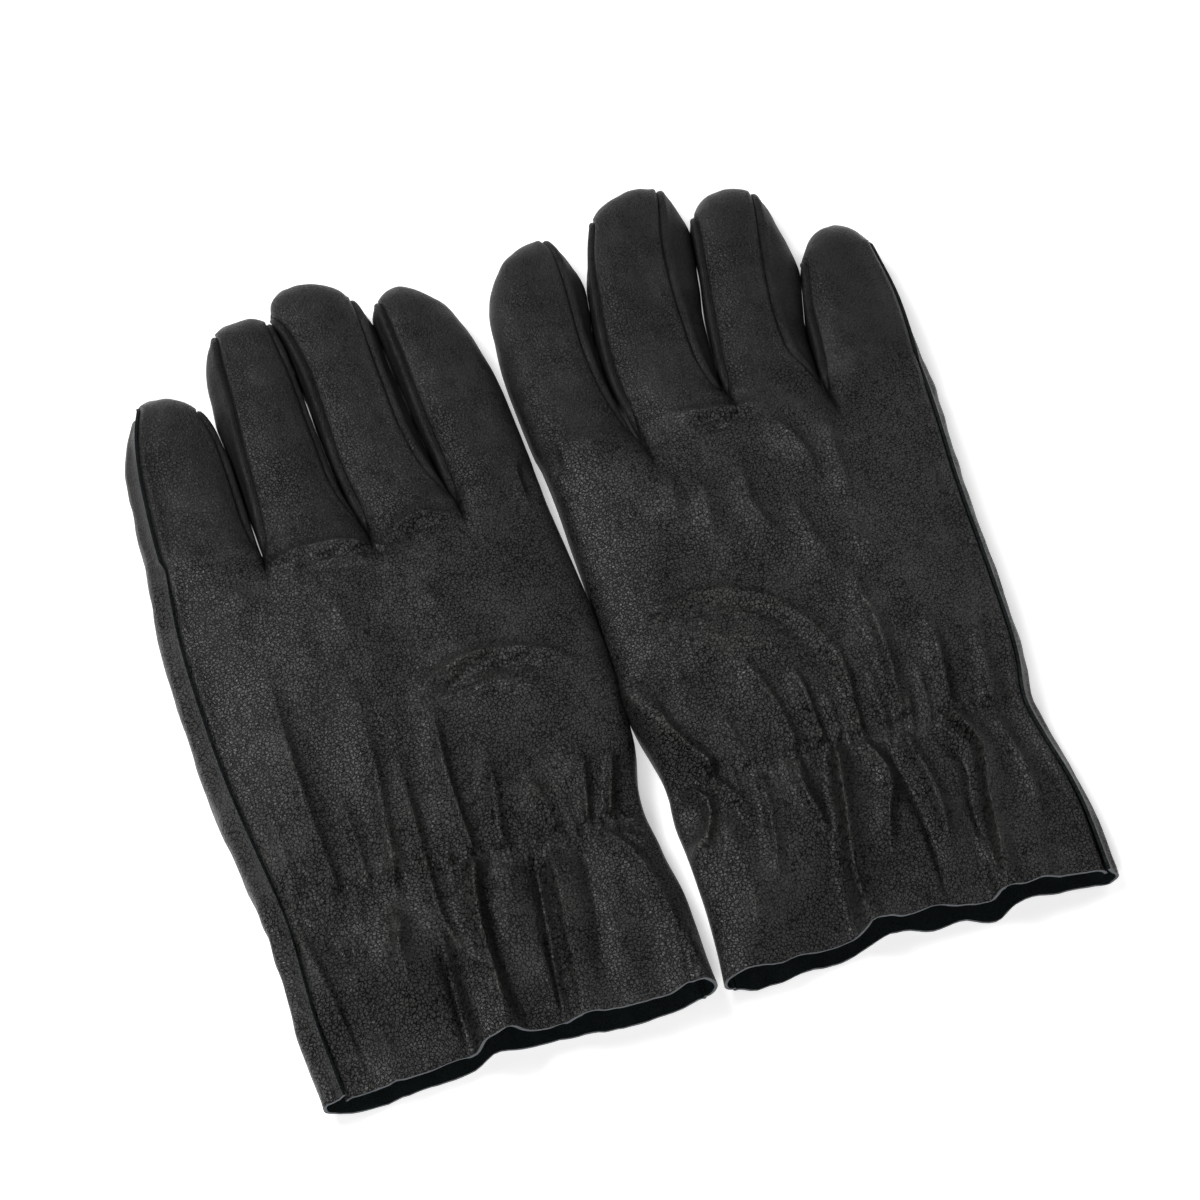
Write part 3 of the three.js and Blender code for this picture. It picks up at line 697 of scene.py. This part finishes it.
def hand_folds(which, x, y):
    """Height that the folds add to the back of the hand, and how worn their crests are, with painted
    highlight: lighter colour on the crests and most on their tops.
    """
    wrist = WRIST[which]
    added = np.zeros(np.shape(x))
    rubbed = np.zeros(np.shape(x))
    crinkled = np.zeros(np.shape(x))
    for points, height, left, right, ends in FOLDS[which]:
        fold, top = crest(x, y, points, height * FOLD_HEIGHT, left, right, ends)
        added += fold
        # painted highlight: crests, and most of all their tops, are coloured lighter
        rubbed += np.clip(fold, 0, None) * 0.07 + top * 0.6
        if abs(points[-1][0] - points[0][0]) > abs(points[-1][1] - points[0][1]):
            crinkled += np.clip(np.abs(fold), 0, 1)
    # folds that cross the hand are crinkled by every grip
    added += 0.34 * crinkled * value_noise(x, y, 3.6, 13, 0.42)
    rubbed += 0.25 * crinkled
    # the stitched line of the elastic, and the puckers that it draws up
    line = wrist + 1.2 * value_noise(x, 0 * y, 18, 5)
    added -= np.clip(0.15 + 0.45 * value_noise(x, y, 9, 9), 0, 0.5) * np.exp(-np.abs((y - line) / 1.7) ** 1.6)
    draws = np.random.RandomState(11 if which == "left" else 12)
    low, high = (-106, -13) if which == "left" else (13, 104)
    place = low
    while place < high:
        up, down = draws.uniform(4, 13), draws.uniform(4, 12)
        lean = draws.uniform(-2.5, 2.5)
        tall = draws.uniform(0.5, 1.7)
        pucker = [(place + lean, wrist + up), (place, wrist), (place - lean * 0.6, wrist - down)]
        fold, top = crest(x, y, pucker, tall, 0.9, 1.3, (0.6, 0.6))
        added += fold
        # painted highlight: the top of each pucker is coloured lighter
        rubbed += top * 0.5
        place += draws.uniform(2.6, 4.6)
    # broad unevenness, and finer crumples near the wrist
    added += 1.1 * value_noise(x, y, 22, 3, 1.8) + 0.42 * value_noise(x, y, 9, 4, 2.2)
    near_wrist = np.exp(-((y - wrist) / 22) ** 2)
    added += (0.16 + 0.26 * near_wrist) * value_noise(x, y, 4.2, 6, 2.4)
    rubbed += 0.35 * np.clip(value_noise(x, y, 13, 8) + 0.25, 0, 1) + 0.15 * near_wrist
    return added, rubbed


# Cutting and closing the skins. Each is laid out as strips that run from the hem out along one finger.
# A strip keeps its columns from end to end, so a back and its fingers share one run of grain.


def spread(width, step):
    """Places across a strip, from 0 to 1, closer together beside its seams."""
    inner = np.linspace(2.2, width - 2.2, max(2, int(round((width - 4.4) / step)) + 1))
    beside = np.array([0, 0.35, 0.8, 1.4])
    return np.concatenate([beside, inner, width - beside[::-1]]) / width


def normals_of(grid):
    """Which way the skin faces at each point of a grid of rows and columns."""
    down, over = np.gradient(grid, axis=0), np.gradient(grid, axis=1)
    facing = np.cross(over, down)
    size = np.linalg.norm(facing, axis=-1, keepdims=True)
    for i in range(1, len(facing)):  # a row that has closed to a point faces as the one before it
        flat = size[i, :, 0] < 1e-7
        facing[i, flat] = facing[i - 1, flat]
        size[i, flat] = size[i - 1, flat]
    return facing / np.maximum(size, 1e-9)


def seam_roll(distance, welt=0.14, width=0.9):
    """The turned-in edge beside a seam: down into the stitching, with a soft welt next to it."""
    return -0.75 * np.exp(-(distance / 0.5) ** 2) + welt * np.exp(-((distance - 1.8 * width) / width) ** 2)


def shell(name, strips, material, inside, edge_rows=(), flip=False, hole=None):
    """One piece of leather from its strips. A strip is a dict of grids: skin (points, mm), facing,
    flat (its place on the cut skin) and its wear with painted highlight. Strips join where their edges
    meet exactly, and what lies inside a hole (its middle and radius) is cut away."""
    points, facings, flats, rubs, smooths, faces, hem = [], [], [], [], [], [], set()
    at = 0
    for strip in strips:
        rows, columns = strip["skin"].shape[:2]
        index = at + np.arange(rows * columns).reshape(rows, columns)
        points.append(strip["skin"].reshape(-1, 3))
        facings.append(strip["facing"].reshape(-1, 3))
        flats.append(strip["flat"].reshape(-1, 2))
        rubs.append(strip["rub"].reshape(-1))
        smooths.append((strip["smooth"] + 0 * strip["rub"]).reshape(-1))
        quads = np.stack([index[:-1, :-1], index[:-1, 1:], index[1:, 1:], index[1:, :-1]], -1).reshape(-1, 4)
        faces.append(quads)
        hem.update(index[list(edge_rows)].ravel().tolist() if len(edge_rows) else [])
        at += rows * columns
    points, facings = np.concatenate(points), np.concatenate(facings)
    flats, rubs, faces, smooths = (np.concatenate(part) for part in (flats, rubs, faces, smooths))
    _, first, merged = np.unique(np.round(points, 4), axis=0, return_index=True, return_inverse=True)
    merged = merged.reshape(-1)
    raw_edge = {int(merged[i]) for i in hem}
    facing = np.zeros((len(first), 3))
    np.add.at(facing, merged, facings)
    facing /= np.maximum(np.linalg.norm(facing, axis=1, keepdims=True), 1e-9)
    points, flats, rubs, smooths = (part[first] for part in (points, flats, rubs, smooths))
    faces = merged[faces]
    if flip:
        faces, facing = faces[:, ::-1], -facing
    outer = []
    for quad in faces.tolist():
        ring = [v for i, v in enumerate(quad) if v != quad[i - 1]]
        if hole is not None and np.hypot(*(points[quad, :2].mean(0) - hole[0])) < hole[1] - 0.05:
            continue
        if len(set(ring)) == len(ring) >= 3:
            outer.append(ring)
    count = len(points)
    rim = {}
    for ring in outer:
        for a, b in zip(ring, ring[1:] + ring[:1]):
            if (b, a) in rim:
                del rim[(b, a)]
            else:
                rim[(a, b)] = True
    inner = [[v + count for v in ring[::-1]] for ring in outer]
    sides = [[b, a, a + count, b + count] for a, b in rim]
    everything = np.concatenate([points, points - facing * THICKNESS])
    everything[:, :2] += MIDDLE
    mesh = bpy.data.meshes.new(name)
    mesh.from_pydata((everything * MM).tolist(), [], outer + inner + sides)
    for finish in (material, inside, cut_edge):
        mesh.materials.append(finish)
    slots = [0] * len(outer) + [1] * len(inner) + [
        2 if a in raw_edge and b in raw_edge else 1 for a, b in rim]
    mesh.polygons.foreach_set("material_index", slots)
    mesh.polygons.foreach_set("use_smooth", [True] * len(slots))
    corners = np.zeros(len(mesh.loops), int)
    mesh.loops.foreach_get("vertex_index", corners)
    both = np.concatenate([facing, -facing])
    corner_normals = both[corners]
    flat_map = mesh.uv_layers.new(name="skin")
    flat_map.data.foreach_set("uv", (np.concatenate([flats, flats])[corners] / SKIN_UNIT).ravel())
    for label, outside, within in (("rub", rubs, rubs * 0.3), ("smooth", smooths, smooths)):
        kept = mesh.attributes.new(label, "FLOAT", "POINT")
        kept.data.foreach_set("value", np.concatenate([outside, within]).astype(np.float32))
    mesh.update()
    for polygon in mesh.polygons[len(outer) + len(inner):]:
        corner_normals[list(polygon.loop_indices)] = polygon.normal
    mesh.normals_split_custom_set(corner_normals.tolist())
    piece = bpy.data.objects.new(name, mesh)
    bpy.context.scene.collection.objects.link(piece)
    return piece


def hand_part(which, k, columns, round_side, rows, under):
    """The part of a back or palm in line with finger k: its rows run from the hem to the finger's root.
    round_side are the places round the side of the glove, 0 at the back and 1 at the palm."""
    lay = GLOVES[which]
    crotches, ends = lay["crotches"], lay["ends"]
    if under:  # below, the web between two fingers reaches a little further out
        crotches = [(x, y + 4) for x, y in crotches]
    first, last = k == 0, k == 3
    left_y = ends[0] if first else crotches[k - 1][1]
    right_y = ends[1] if last else crotches[k][1]
    root_y = left_y + (right_y - left_y) * columns

    def seam_x(y, beneath=under):
        left, right = hand_edges(lay, y)
        in_left, in_right = hand_seams(lay, y, beneath)
        return left + in_left, right - in_right

    low, high = seam_x(np.array(ends, float))[0][0], seam_x(np.array(ends, float))[1][1]
    x0 = low if first else crotches[k - 1][0]
    x1 = high if last else crotches[k][0]
    share = (x0 + (x1 - x0) * columns - low) / (high - low)
    hems = [[(p[0], p[1]) for p in line] for line in HEMS[which]]
    hem_left, hem_right = seam_x(np.full(len(columns), -127.0))
    hem_x = hem_left + share * (hem_right - hem_left)
    ragged = 0.35 * value_noise(hem_x, 0 * hem_x, 2.6, 77) * np.sin(math.pi * columns)
    hem_y = curve_through(hems[under], hem_x) + ragged
    y = hem_y + np.multiply.outer(rows, root_y - hem_y)
    left, right = seam_x(y)
    x = left + share * (right - left)
    hand = np.stack([x, y, hand_height(which, x, y, under)], -1)
    if not len(round_side):
        return hand, None, 0
    side = -1 if first else 1
    end = 0 if first else -1
    other_x = seam_x(np.array([-127.0]), not under)[0 if first else 1][0]
    other_y = curve_through(hems[not under], other_x)
    far = 1 - round_side if under else round_side
    wall_hem = hem_y[end] + (other_y - hem_y[end]) * far
    wall_y = wall_hem + np.multiply.outer(rows, root_y[end] - wall_hem)
    edge_left, edge_right = hand_edges(lay, wall_y)
    half = (edge_right - edge_left) / 2
    a0 = side_angle(half, hand_seams(lay, wall_y, False)[0 if first else 1], HAND_POWER)
    a1 = math.pi - side_angle(half, hand_seams(lay, wall_y, True)[0], HAND_POWER)
    top = curve_through(HAND_TOPS[which], wall_y)
    turned = side * (a0 + (a1 - a0) * round_side)
    across, up = section(turned, half, half, top, HAND_EDGE, UNDERSIDE, HAND_POWER)
    return hand, np.stack([(edge_left + edge_right) / 2 + across, wall_y, up], -1), side


def finger_top(finger, s, columns, under):
    """Points of a finger's back (or palm) between its two seams."""
    s = np.asarray(s)[:, None]
    left, in_left = finger.edge("left", s)
    right, in_right = finger.edge("right", s)
    if under:
        in_left, in_right = finger.under_inset("left", s), finger.under_inset("right", s)
    top, edge, bottom = finger.heights(s)
    low, high = in_left - left, right - in_right
    across = low + (high - low) * columns
    half = np.where(across < 0, left, right)
    arch = (1 - np.clip(np.abs(across) / np.maximum(half, 1e-4), 0, 1) ** finger.power) ** (1 / finger.power)
    up = edge - (edge - bottom) * arch if under else edge + (top - edge) * arch
    sideways = (across + finger.middle(s))[..., None] * finger.across
    plan = finger.knuckle + s[..., None] * finger.along + sideways
    return np.concatenate([plan, up[..., None]], -1)


def finger_side(finger, s, round_side, side):
    """Points round the side of a finger, from its back seam or fold at 0 to its palm seam at 1."""
    s = np.asarray(s)[:, None] + 0 * round_side
    name = "left" if side < 0 else "right"
    a0, a1 = finger.seam(name, s), finger.seam(name, s, True)
    return finger.point(s, side * (a0 + (a1 - a0) * round_side))


def crowding(t):
    """Climbs faster where rows stand closer: at the mark of the thumb and at the knuckles."""
    return t + 0.075 * ease((t - 0.56) / 0.12) + 0.14 * ease((t - 0.84) / 0.16)


def layout(which, under):
    """Every strip of a glove's back or palm, from left to right, smooth as yet."""
    made = []
    for k, name in enumerate(FINGER_ORDER[which]):
        finger = FINGERS[which][name]
        first, last = k == 0, k == 3
        # the back wraps round the index side, the palm round the little-finger side
        wraps = (first or last) and ((name == "index") != under)
        round_side = np.linspace(0, 1, 10 if under else 18) if wraps else np.zeros(0)
        round_side = round_side[:-1] if under else round_side[1:]
        columns = spread(28, 1.9 if under else 0.78)
        fine = np.linspace(0, 1, 500)
        rows = np.interp(np.linspace(0, 1, 90 if under else 222), crowding(fine) / crowding(1.0), fine)
        hand, wall, side = hand_part(which, k, columns, round_side, rows, under)
        s = finger_rows(finger, ROOT_ROW)
        if under:
            s = np.concatenate([s[: len(s) - 26 : 2], s[-26:]])
        out = finger_top(finger, s, columns, under)
        # between the knuckles the skin sinks towards the crotches
        length = hand[-1, :, 1] - hand[0, :, 1]
        reach = ease((rows[:, None] * length - length + 16) / 16) ** 1.5
        dome = (1 - np.abs(2 * columns - 1) ** 2.7) ** (1 / 2.7)
        crotch = 1.2 if under else 8.6
        sunk = crotch + (out[0, len(columns) // 2, 2] - crotch) * dome
        if first or last:
            sunk = np.where(columns < 0.5 if first else columns > 0.5, out[0, :, 2], sunk)
        hand[..., 2] += (sunk - hand[-1, :, 2]) * reach
        steps = 5 if under else 9
        share = np.linspace(0, 1, steps + 1)[1:-1, None, None]
        skin = np.concatenate([hand, hand[-1] + (out[0] - hand[-1]) * share, out])
        turn = np.zeros(len(columns))
        if wraps:
            wall_out = finger_side(finger, s, round_side, side)
            wall = np.concatenate([wall, wall[-1] + (wall_out[0] - wall[-1]) * share, wall_out])
            nearest_first = (side > 0) != under
            wall, round_side = (wall, round_side) if nearest_first else (wall[:, ::-1], round_side[::-1])
            if side < 0:
                skin, turn = np.concatenate([wall, skin], 1), np.concatenate([-round_side, turn])
            else:
                skin, turn = np.concatenate([skin, wall], 1), np.concatenate([turn, round_side])
        made.append(dict(name=name, finger=finger, skin=skin, turn=turn, hand_rows=len(rows),
                         root=len(rows) + steps - 1, crotches=(hand[-1, 0], hand[-1, -1])))
    return made


def dress(which, under):
    """The strips with their seams turned in, their folds and their hem."""
    strips = layout(which, under)
    for k, strip in enumerate(strips):
        skin, turn, root, hand_rows = strip["skin"], strip["turn"], strip["root"], strip["hand_rows"]
        first, last = k == 0, k == 3
        row = np.arange(len(skin))
        flat_part = np.abs(turn) < 1e-9
        top = np.flatnonzero(flat_part)
        # how far across the skin each point lies, measured round the side where it turns
        steps = np.linalg.norm(np.diff(skin, axis=1), axis=-1)
        round_it = np.concatenate([np.zeros((len(skin), 1)), np.cumsum(steps, 1)], 1)
        u = skin[..., 0].copy()
        if not under:
            a, b = top[0], top[-1]
            u[:, :a] = u[:, a : a + 1] + (round_it[:, :a] - round_it[:, a : a + 1])
            u[:, b + 1 :] = u[:, b : b + 1] + (round_it[:, b + 1 :] - round_it[:, b : b + 1])
        middle = len(turn) // 2
        along_finger = ease((row - root) / 10)[:, None]
        from_middle = round_it - round_it[:, middle : middle + 1]
        flat_u = u + along_finger * (u[:, middle : middle + 1] + from_middle - u)
        flat = np.stack([flat_u, skin[..., 1]], -1)
        from_left, from_right = round_it, round_it[:, -1:] - round_it
        starts = ease((row - hand_rows + 1) / 8.0)
        left_sewn = np.ones(len(row)) if first else starts
        right_sewn = np.ones(len(row)) if last else starts
        outer = GLOVES[which]["outer"]
        shape = {False: (0.14, 0.9), True: (0.9, 1.6) if under else (0.5, 1.3)}
        tip = np.clip((len(skin) - 1 - row) / 5.0, 0, 1)
        rolled = (seam_roll(from_left, *shape[first and outer == "left"]) * (left_sewn * tip)[:, None]
                  + seam_roll(from_right, *shape[last and outer == "right"]) * (right_sewn * tip)[:, None])
        # painted highlight: the welt beside each seam is coloured lighter
        rub = 0.30 * (np.exp(-((from_left - 1.7) / 1.0) ** 2) * left_sewn[:, None]
                      + np.exp(-((from_right - 1.7) / 1.0) ** 2) * right_sewn[:, None])
        facing = normals_of(skin)
        if not under:
            in_hand = 1 - ease((row - hand_rows + 1) / 14)[:, None]
            near_seam = (1 - left_sewn[:, None] * (1 - ease(from_left / 5))) * (
                1 - right_sewn[:, None] * (1 - ease(from_right / 5)))
            added, rubbed = hand_folds(which, u, skin[..., 1])
            lean = math.pi * turn
            lift = np.stack([np.sin(lean), 0 * lean, np.cos(lean)], -1)
            skin = skin + lift * (added * in_hand * near_seam)[..., None]
            rub = rub + rubbed * in_hand
            # the hem hangs in its own line
            hem = curve_through([(p[0], p[2]) for p in HEMS[which][0]], skin[0, :, 0])
            pull = (hem - skin[0, :, 2])
            pull = np.where(flat_part, pull, pull[top[0] if first else top[-1]] * (1 - np.abs(turn)) ** 2)
            skin[..., 2] += pull * ease(1 - (skin[..., 1] - skin[0, :, 1]) / 34)
            # long soft creases of the fingers
            lines = (0.14 * value_noise(flat_u, skin[..., 1], 3.2, 51 + k, 2)
                     + 0.3 * value_noise(flat_u, skin[..., 1], 5.5, 21 + k, 4)
                     + 0.28 * value_noise(flat_u, skin[..., 1], 11, 31 + k, 1.5))
            skin = skin + facing * (lines * (1 - in_hand) * near_seam * tip[:, None])[..., None]
            handled = np.clip(value_noise(flat_u, skin[..., 1], 9, 41 + k, 2.5), 0, 1)
            rub = rub + (1 - in_hand) * 0.35 * handled
        else:  # the band beside the side seam puckers a little along its stitching
            pucker = (0.34 * value_noise(round_it, skin[..., 1], 3.4, 71 + k, 1.6)
                      + 0.3 * value_noise(round_it, skin[..., 1], 8, 81 + k))
            inland = np.clip(from_left / 2, 0, 1) * np.clip(from_right / 2, 0, 1)
            skin = skin + facing * (pucker * inland * tip[:, None])[..., None]
            rub = rub + 0.3 * np.clip(value_noise(round_it, skin[..., 1], 6, 91 + k), 0, 1)
        skin = skin + facing * rolled[..., None]
        if under:  # nothing sinks into the table
            skin[..., 2] = np.maximum(skin[..., 2], 0.05)
        smooth = ease((row - hand_rows + 22) / 40)[:, None] + 0 * rub
        strip.update(skin=skin, facing=normals_of(skin), flat=flat, rub=rub, smooth=smooth)
    return strips


def cut(strip, rows):
    return {key: strip[key][rows] for key in ("skin", "facing", "flat", "rub", "smooth")}


def bend(piece):
    """Bakes the piece's placement into its mesh; nothing binds it to a finger or thumb."""
    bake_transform(piece)


def bend_finger(piece):
    bend(piece)


laid = {}
for which in ("left", "right"):
    strips = dress(which, False)
    laid[which] = strips
    back = shell(which + "_back", [cut(strip, slice(0, strip["root"] + 1)) for strip in strips],
                 hand_leather, suede, (0,))
    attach(back, which + "_glove")
    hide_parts(which + "_back_panel")
    for strip in strips:
        name = which + "_" + strip["name"] + "_back"
        piece = shell(name + "_skin", [cut(strip, slice(strip["root"], None))], hand_leather, suede)
        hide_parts(name)
        bend_finger(piece)

# ---------------------------------------------------------------- palms
# The palm and its four fingers are the same leather, cut in one piece with a round hole for the thumb.
# It wraps round the little-finger side up to the side seam.

THUMB_HOLES = {"left": (-29.85, -44.5), "right": (28.85, -44.5)}
HOLE_RADIUS = 13.0
palms = {}
for which in ("left", "right"):
    strips = dress(which, True)
    palms[which] = strips
    hole = np.array(THUMB_HOLES[which])
    for strip in strips:  # the cut edge of the hole is drawn round
        skin = strip["skin"]
        away = skin[..., :2] - hole
        size = np.maximum(np.linalg.norm(away, axis=-1), 1e-6)
        pull = np.where((np.abs(size - HOLE_RADIUS) < 1.6) & (skin[..., 2] > 2), 1.0, 0.0)
        skin[..., :2] += away / size[..., None] * ((HOLE_RADIUS - size) * pull)[..., None] * 0.999
    palm = shell(which + "_palm", [cut(strip, slice(0, strip["root"] + 1)) for strip in strips],
                 hand_leather, suede, (0,), flip=True, hole=(hole, HOLE_RADIUS))
    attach(palm, which + "_glove")
    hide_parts(which + "_palm_panel")
    for strip in strips:
        name = which + "_" + strip["name"] + "_palm"
        finger_palm = cut(strip, slice(strip["root"], None))
        piece = shell(name + "_skin", [finger_palm], hand_leather, suede, flip=True)
        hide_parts(name)
        bend_finger(piece)

# ---------------------------------------------------------------- gussets between the fingers
# A narrow strip of thinner, smoother skin down each facing side of two fingers. Each is sewn to the
# finger's back and palm, and meets its neighbour in the crotch.

# The first colour is painted shade, a darker colour for the lines of the grain.
gusset_leather = leather("gusset leather", (0.003, 0.003, 0.0032, 1), (0.011, 0.011, 0.0113, 1),
                         (0.04, 0.04, 0.04, 1), 1.25, 0.7, 0.45)
for which in ("left", "right"):
    for k in range(4):
        strip, below = laid[which][k], palms[which][k]
        finger = strip["finger"]
        for side in (-1, 1):
            if (k == 0 and side < 0) or (k == 3 and side > 0):
                continue
            high, low = strip["crotches"][side > 0], below["crotches"][side > 0]
            round_side = spread(15, 0.85)
            s = finger_rows(finger, ROOT_ROW)
            side_skin = finger_side(finger, s, round_side, side)
            line = high + (low - high) * round_side[:, None]
            share = np.linspace(0, 1, 8)[:-1, None, None]
            skin = np.concatenate([line + (side_skin[0] - line) * share, side_skin])
            if side < 0:
                skin = skin[:, ::-1]
            steps = np.linalg.norm(np.diff(skin, axis=1), axis=-1)
            across = np.concatenate([np.zeros((len(skin), 1)), np.cumsum(steps, 1)], 1)
            ahead = np.arange(len(skin)) * 0.95
            flat = np.stack([across + 30 * k + 200, ahead[:, None] + 0 * across], -1)
            rim = [across, across[:, -1:] - across]
            starts = ease(np.arange(len(skin)) / 8.0)[:, None]
            facing = normals_of(skin)
            dorsal = rim[1] if side < 0 else rim[0]
            welt = sum(-0.8 * np.exp(-(d / 0.5) ** 2) for d in rim)
            welt = welt + 0.5 * np.exp(-((dorsal - 1.7) / 0.9) ** 2)
            inland = np.clip(np.minimum(*rim) / 3, 0, 1)
            ripple = 0.28 * value_noise(across, ahead[:, None], 4.5, 60 + k, 2.0) * inland
            tip = np.clip((len(skin) - 1 - np.arange(len(skin))) / 5.0, 0, 1)[:, None]
            skin = skin + facing * ((welt + ripple) * starts * tip)[..., None]
            # painted highlight on the welt beside the back's seam, over a little even wear
            rub = 0.30 * np.exp(-((dorsal - 1.9) / 1.0) ** 2) + 0.1 + 0 * across
            faces_thumb = (side > 0) == (which == "left")
            name = which + "_" + strip["name"] + "_gusset_" + ("thumb_side" if faces_thumb else "little_side")
            gusset = dict(skin=skin, facing=normals_of(skin), flat=flat, rub=rub, smooth=1.0)
            piece = shell(name + "_skin", [gusset], gusset_leather, suede)
            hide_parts(name)
            bend_finger(piece)

# ---------------------------------------------------------------- thumbs
# Each thumb is a tube of two pieces, a back and a front that runs on into the base sewn round the hole
# in the palm. It lies folded flat under the hand, where it can only be seen from below.

THUMB_LENGTH, THUMB_TIP = 51, 15  # it closes over the tip
for which in ("left", "right"):
    lean = math.radians(12) * (1 if which == "left" else -1)
    along = np.array((-math.sin(lean), math.cos(lean)))
    across = np.array((along[1], -along[0]))
    hinge = np.array((-29.85, -27.5) if which == "left" else (28.85, -27.5))
    hole = np.array(THUMB_HOLES[which])
    angle = np.linspace(-math.pi / 2, 1.5 * math.pi, 65)
    loft = np.linspace(0, 1, 16)
    circle = np.stack([hole[0] + HOLE_RADIUS * np.cos(angle), hole[1] + HOLE_RADIUS * np.sin(angle),
                       7.5 + 0 * angle], -1)

    def tube(s, angle):
        s = np.asarray(s, float)[:, None] + 0 * angle
        t = np.clip((s - THUMB_LENGTH + THUMB_TIP) / THUMB_TIP, 0, 1)
        close = (1 - (t * 0.9995) ** 2.4) ** (1 / 2.4)
        half = (14 - 2 * s / THUMB_LENGTH) * close
        flat_side = np.sqrt(1 - (t * 0.999) ** 2.4)
        c, d = np.cos(angle), np.sin(angle)
        out = half * np.sign(c) * np.abs(c) ** 0.8
        up = 3.4 + 3.1 * flat_side * np.sign(d) * np.abs(d) ** 0.7
        plan = hinge + s[..., None] * along + out[..., None] * across
        return np.concatenate([plan, up[..., None]], -1)

    mouth = tube([-3.0], angle)[0]
    base = circle + (mouth - circle) * loft[:, None, None]
    base[..., 2] = circle[:, 2] + (mouth[:, 2] - circle[:, 2]) * (1 - (1 - loft[:, None]) ** 2.4)
    straight = THUMB_LENGTH - THUMB_TIP
    turn = np.linspace(0, 1, 18) * math.pi / 2
    s = np.concatenate([np.arange(-3.0, straight, 1.0), straight + THUMB_TIP * np.sin(turn)])
    whole = np.concatenate([base[:-1], tube(s, angle)])
    facing = normals_of(whole)
    seam_gap = np.minimum(np.abs(angle), np.abs(angle - math.pi)) * 9.0
    sewn = ease((np.arange(len(whole)) - 15) / 4)[:, None]
    whole = whole + facing * (-0.7 * np.exp(-(seam_gap / 0.8) ** 2) * sewn)[..., None]
    facing = normals_of(whole)
    flat = np.stack([angle * 9 + 0 * whole[..., 2], np.arange(len(whole))[:, None] + 0 * whole[..., 2]], -1)
    rub = 0.15 + 0 * whole[..., 2]
    every = dict(skin=whole, facing=facing, flat=flat, rub=rub, smooth=0.5 + 0 * rub)
    upper = np.flatnonzero((angle >= -1e-6) & (angle <= math.pi + 1e-6))
    lower = np.concatenate([np.flatnonzero(angle >= math.pi - 1e-6), np.flatnonzero(angle <= 1e-6)[1:]])
    first_tube = len(base) - 1
    for label, rows, columns in (
        ("base", slice(0, first_tube + 1), np.arange(len(angle))),
        ("back", slice(first_tube, None), upper),
        ("front", slice(first_tube, None), lower),
    ):
        part = {key: value[rows][:, columns] for key, value in every.items()}
        piece = shell(which + "_thumb_" + label + "_skin", [part], hand_leather, suede, flip=True)
        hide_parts(which + "_thumb_" + label)
        if label == "base":
            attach(piece, which + "_glove")
        else:
            bend(piece)

# ---------------------------------------------------------------- wrist elastics
# A flat braided elastic is sewn across the inside of each back at the wrist, stretched, and it is what
# gathers the leather outside into its puckers.

braid, tree, braid_finish = new_material("elastic braid")
skin_map = tree.nodes.new("ShaderNodeUVMap")
skin_map.uv_map = "skin"
weave = node(tree, "TexWave", Vector=skin_map.outputs[0], Scale=32.0, Distortion=1.5)
weave.bands_direction = "DIAGONAL"
braid_colour = mix_colour(tree, weave.outputs["Fac"], (0.012, 0.012, 0.013, 1), (0.05, 0.05, 0.052, 1))
tree.links.new(braid_colour, braid_finish.inputs["Base Color"])
braid_finish.inputs["Roughness"].default_value = 0.7
braid_relief = node(tree, "Bump", Height=weave.outputs["Fac"], Strength=0.5, Distance=0.0003)
tree.links.new(braid_relief.outputs[0], braid_finish.inputs["Normal"])

ELASTIC_WIDTH, ELASTIC_DEPTH = 9.0, 4.2  # its width, and how far under the skin's top it runs
for which in ("left", "right"):
    wrist = WRIST[which]
    x = np.linspace(-98, -16, 165) if which == "left" else np.linspace(15, 96, 165)
    y = np.linspace(wrist - ELASTIC_WIDTH / 2, wrist + ELASTIC_WIDTH / 2, 11)
    x, y = np.meshgrid(x, y)
    z = hand_height(which, x, y) - ELASTIC_DEPTH + 0.35 * np.sin(x * 1.9)
    strip = np.stack([x, y, z], -1)
    woven = dict(skin=strip, facing=normals_of(strip), flat=np.stack([x, y], -1), rub=0 * x, smooth=0.0)
    band = shell(which + "_elastic", [woven], braid, braid)
    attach(band, which + "_glove")
    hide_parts(which + "_wrist_elastic")

# ---------------------------------------------------------------- last update
# The view layer is brought up to date.

bpy.context.view_layer.update()
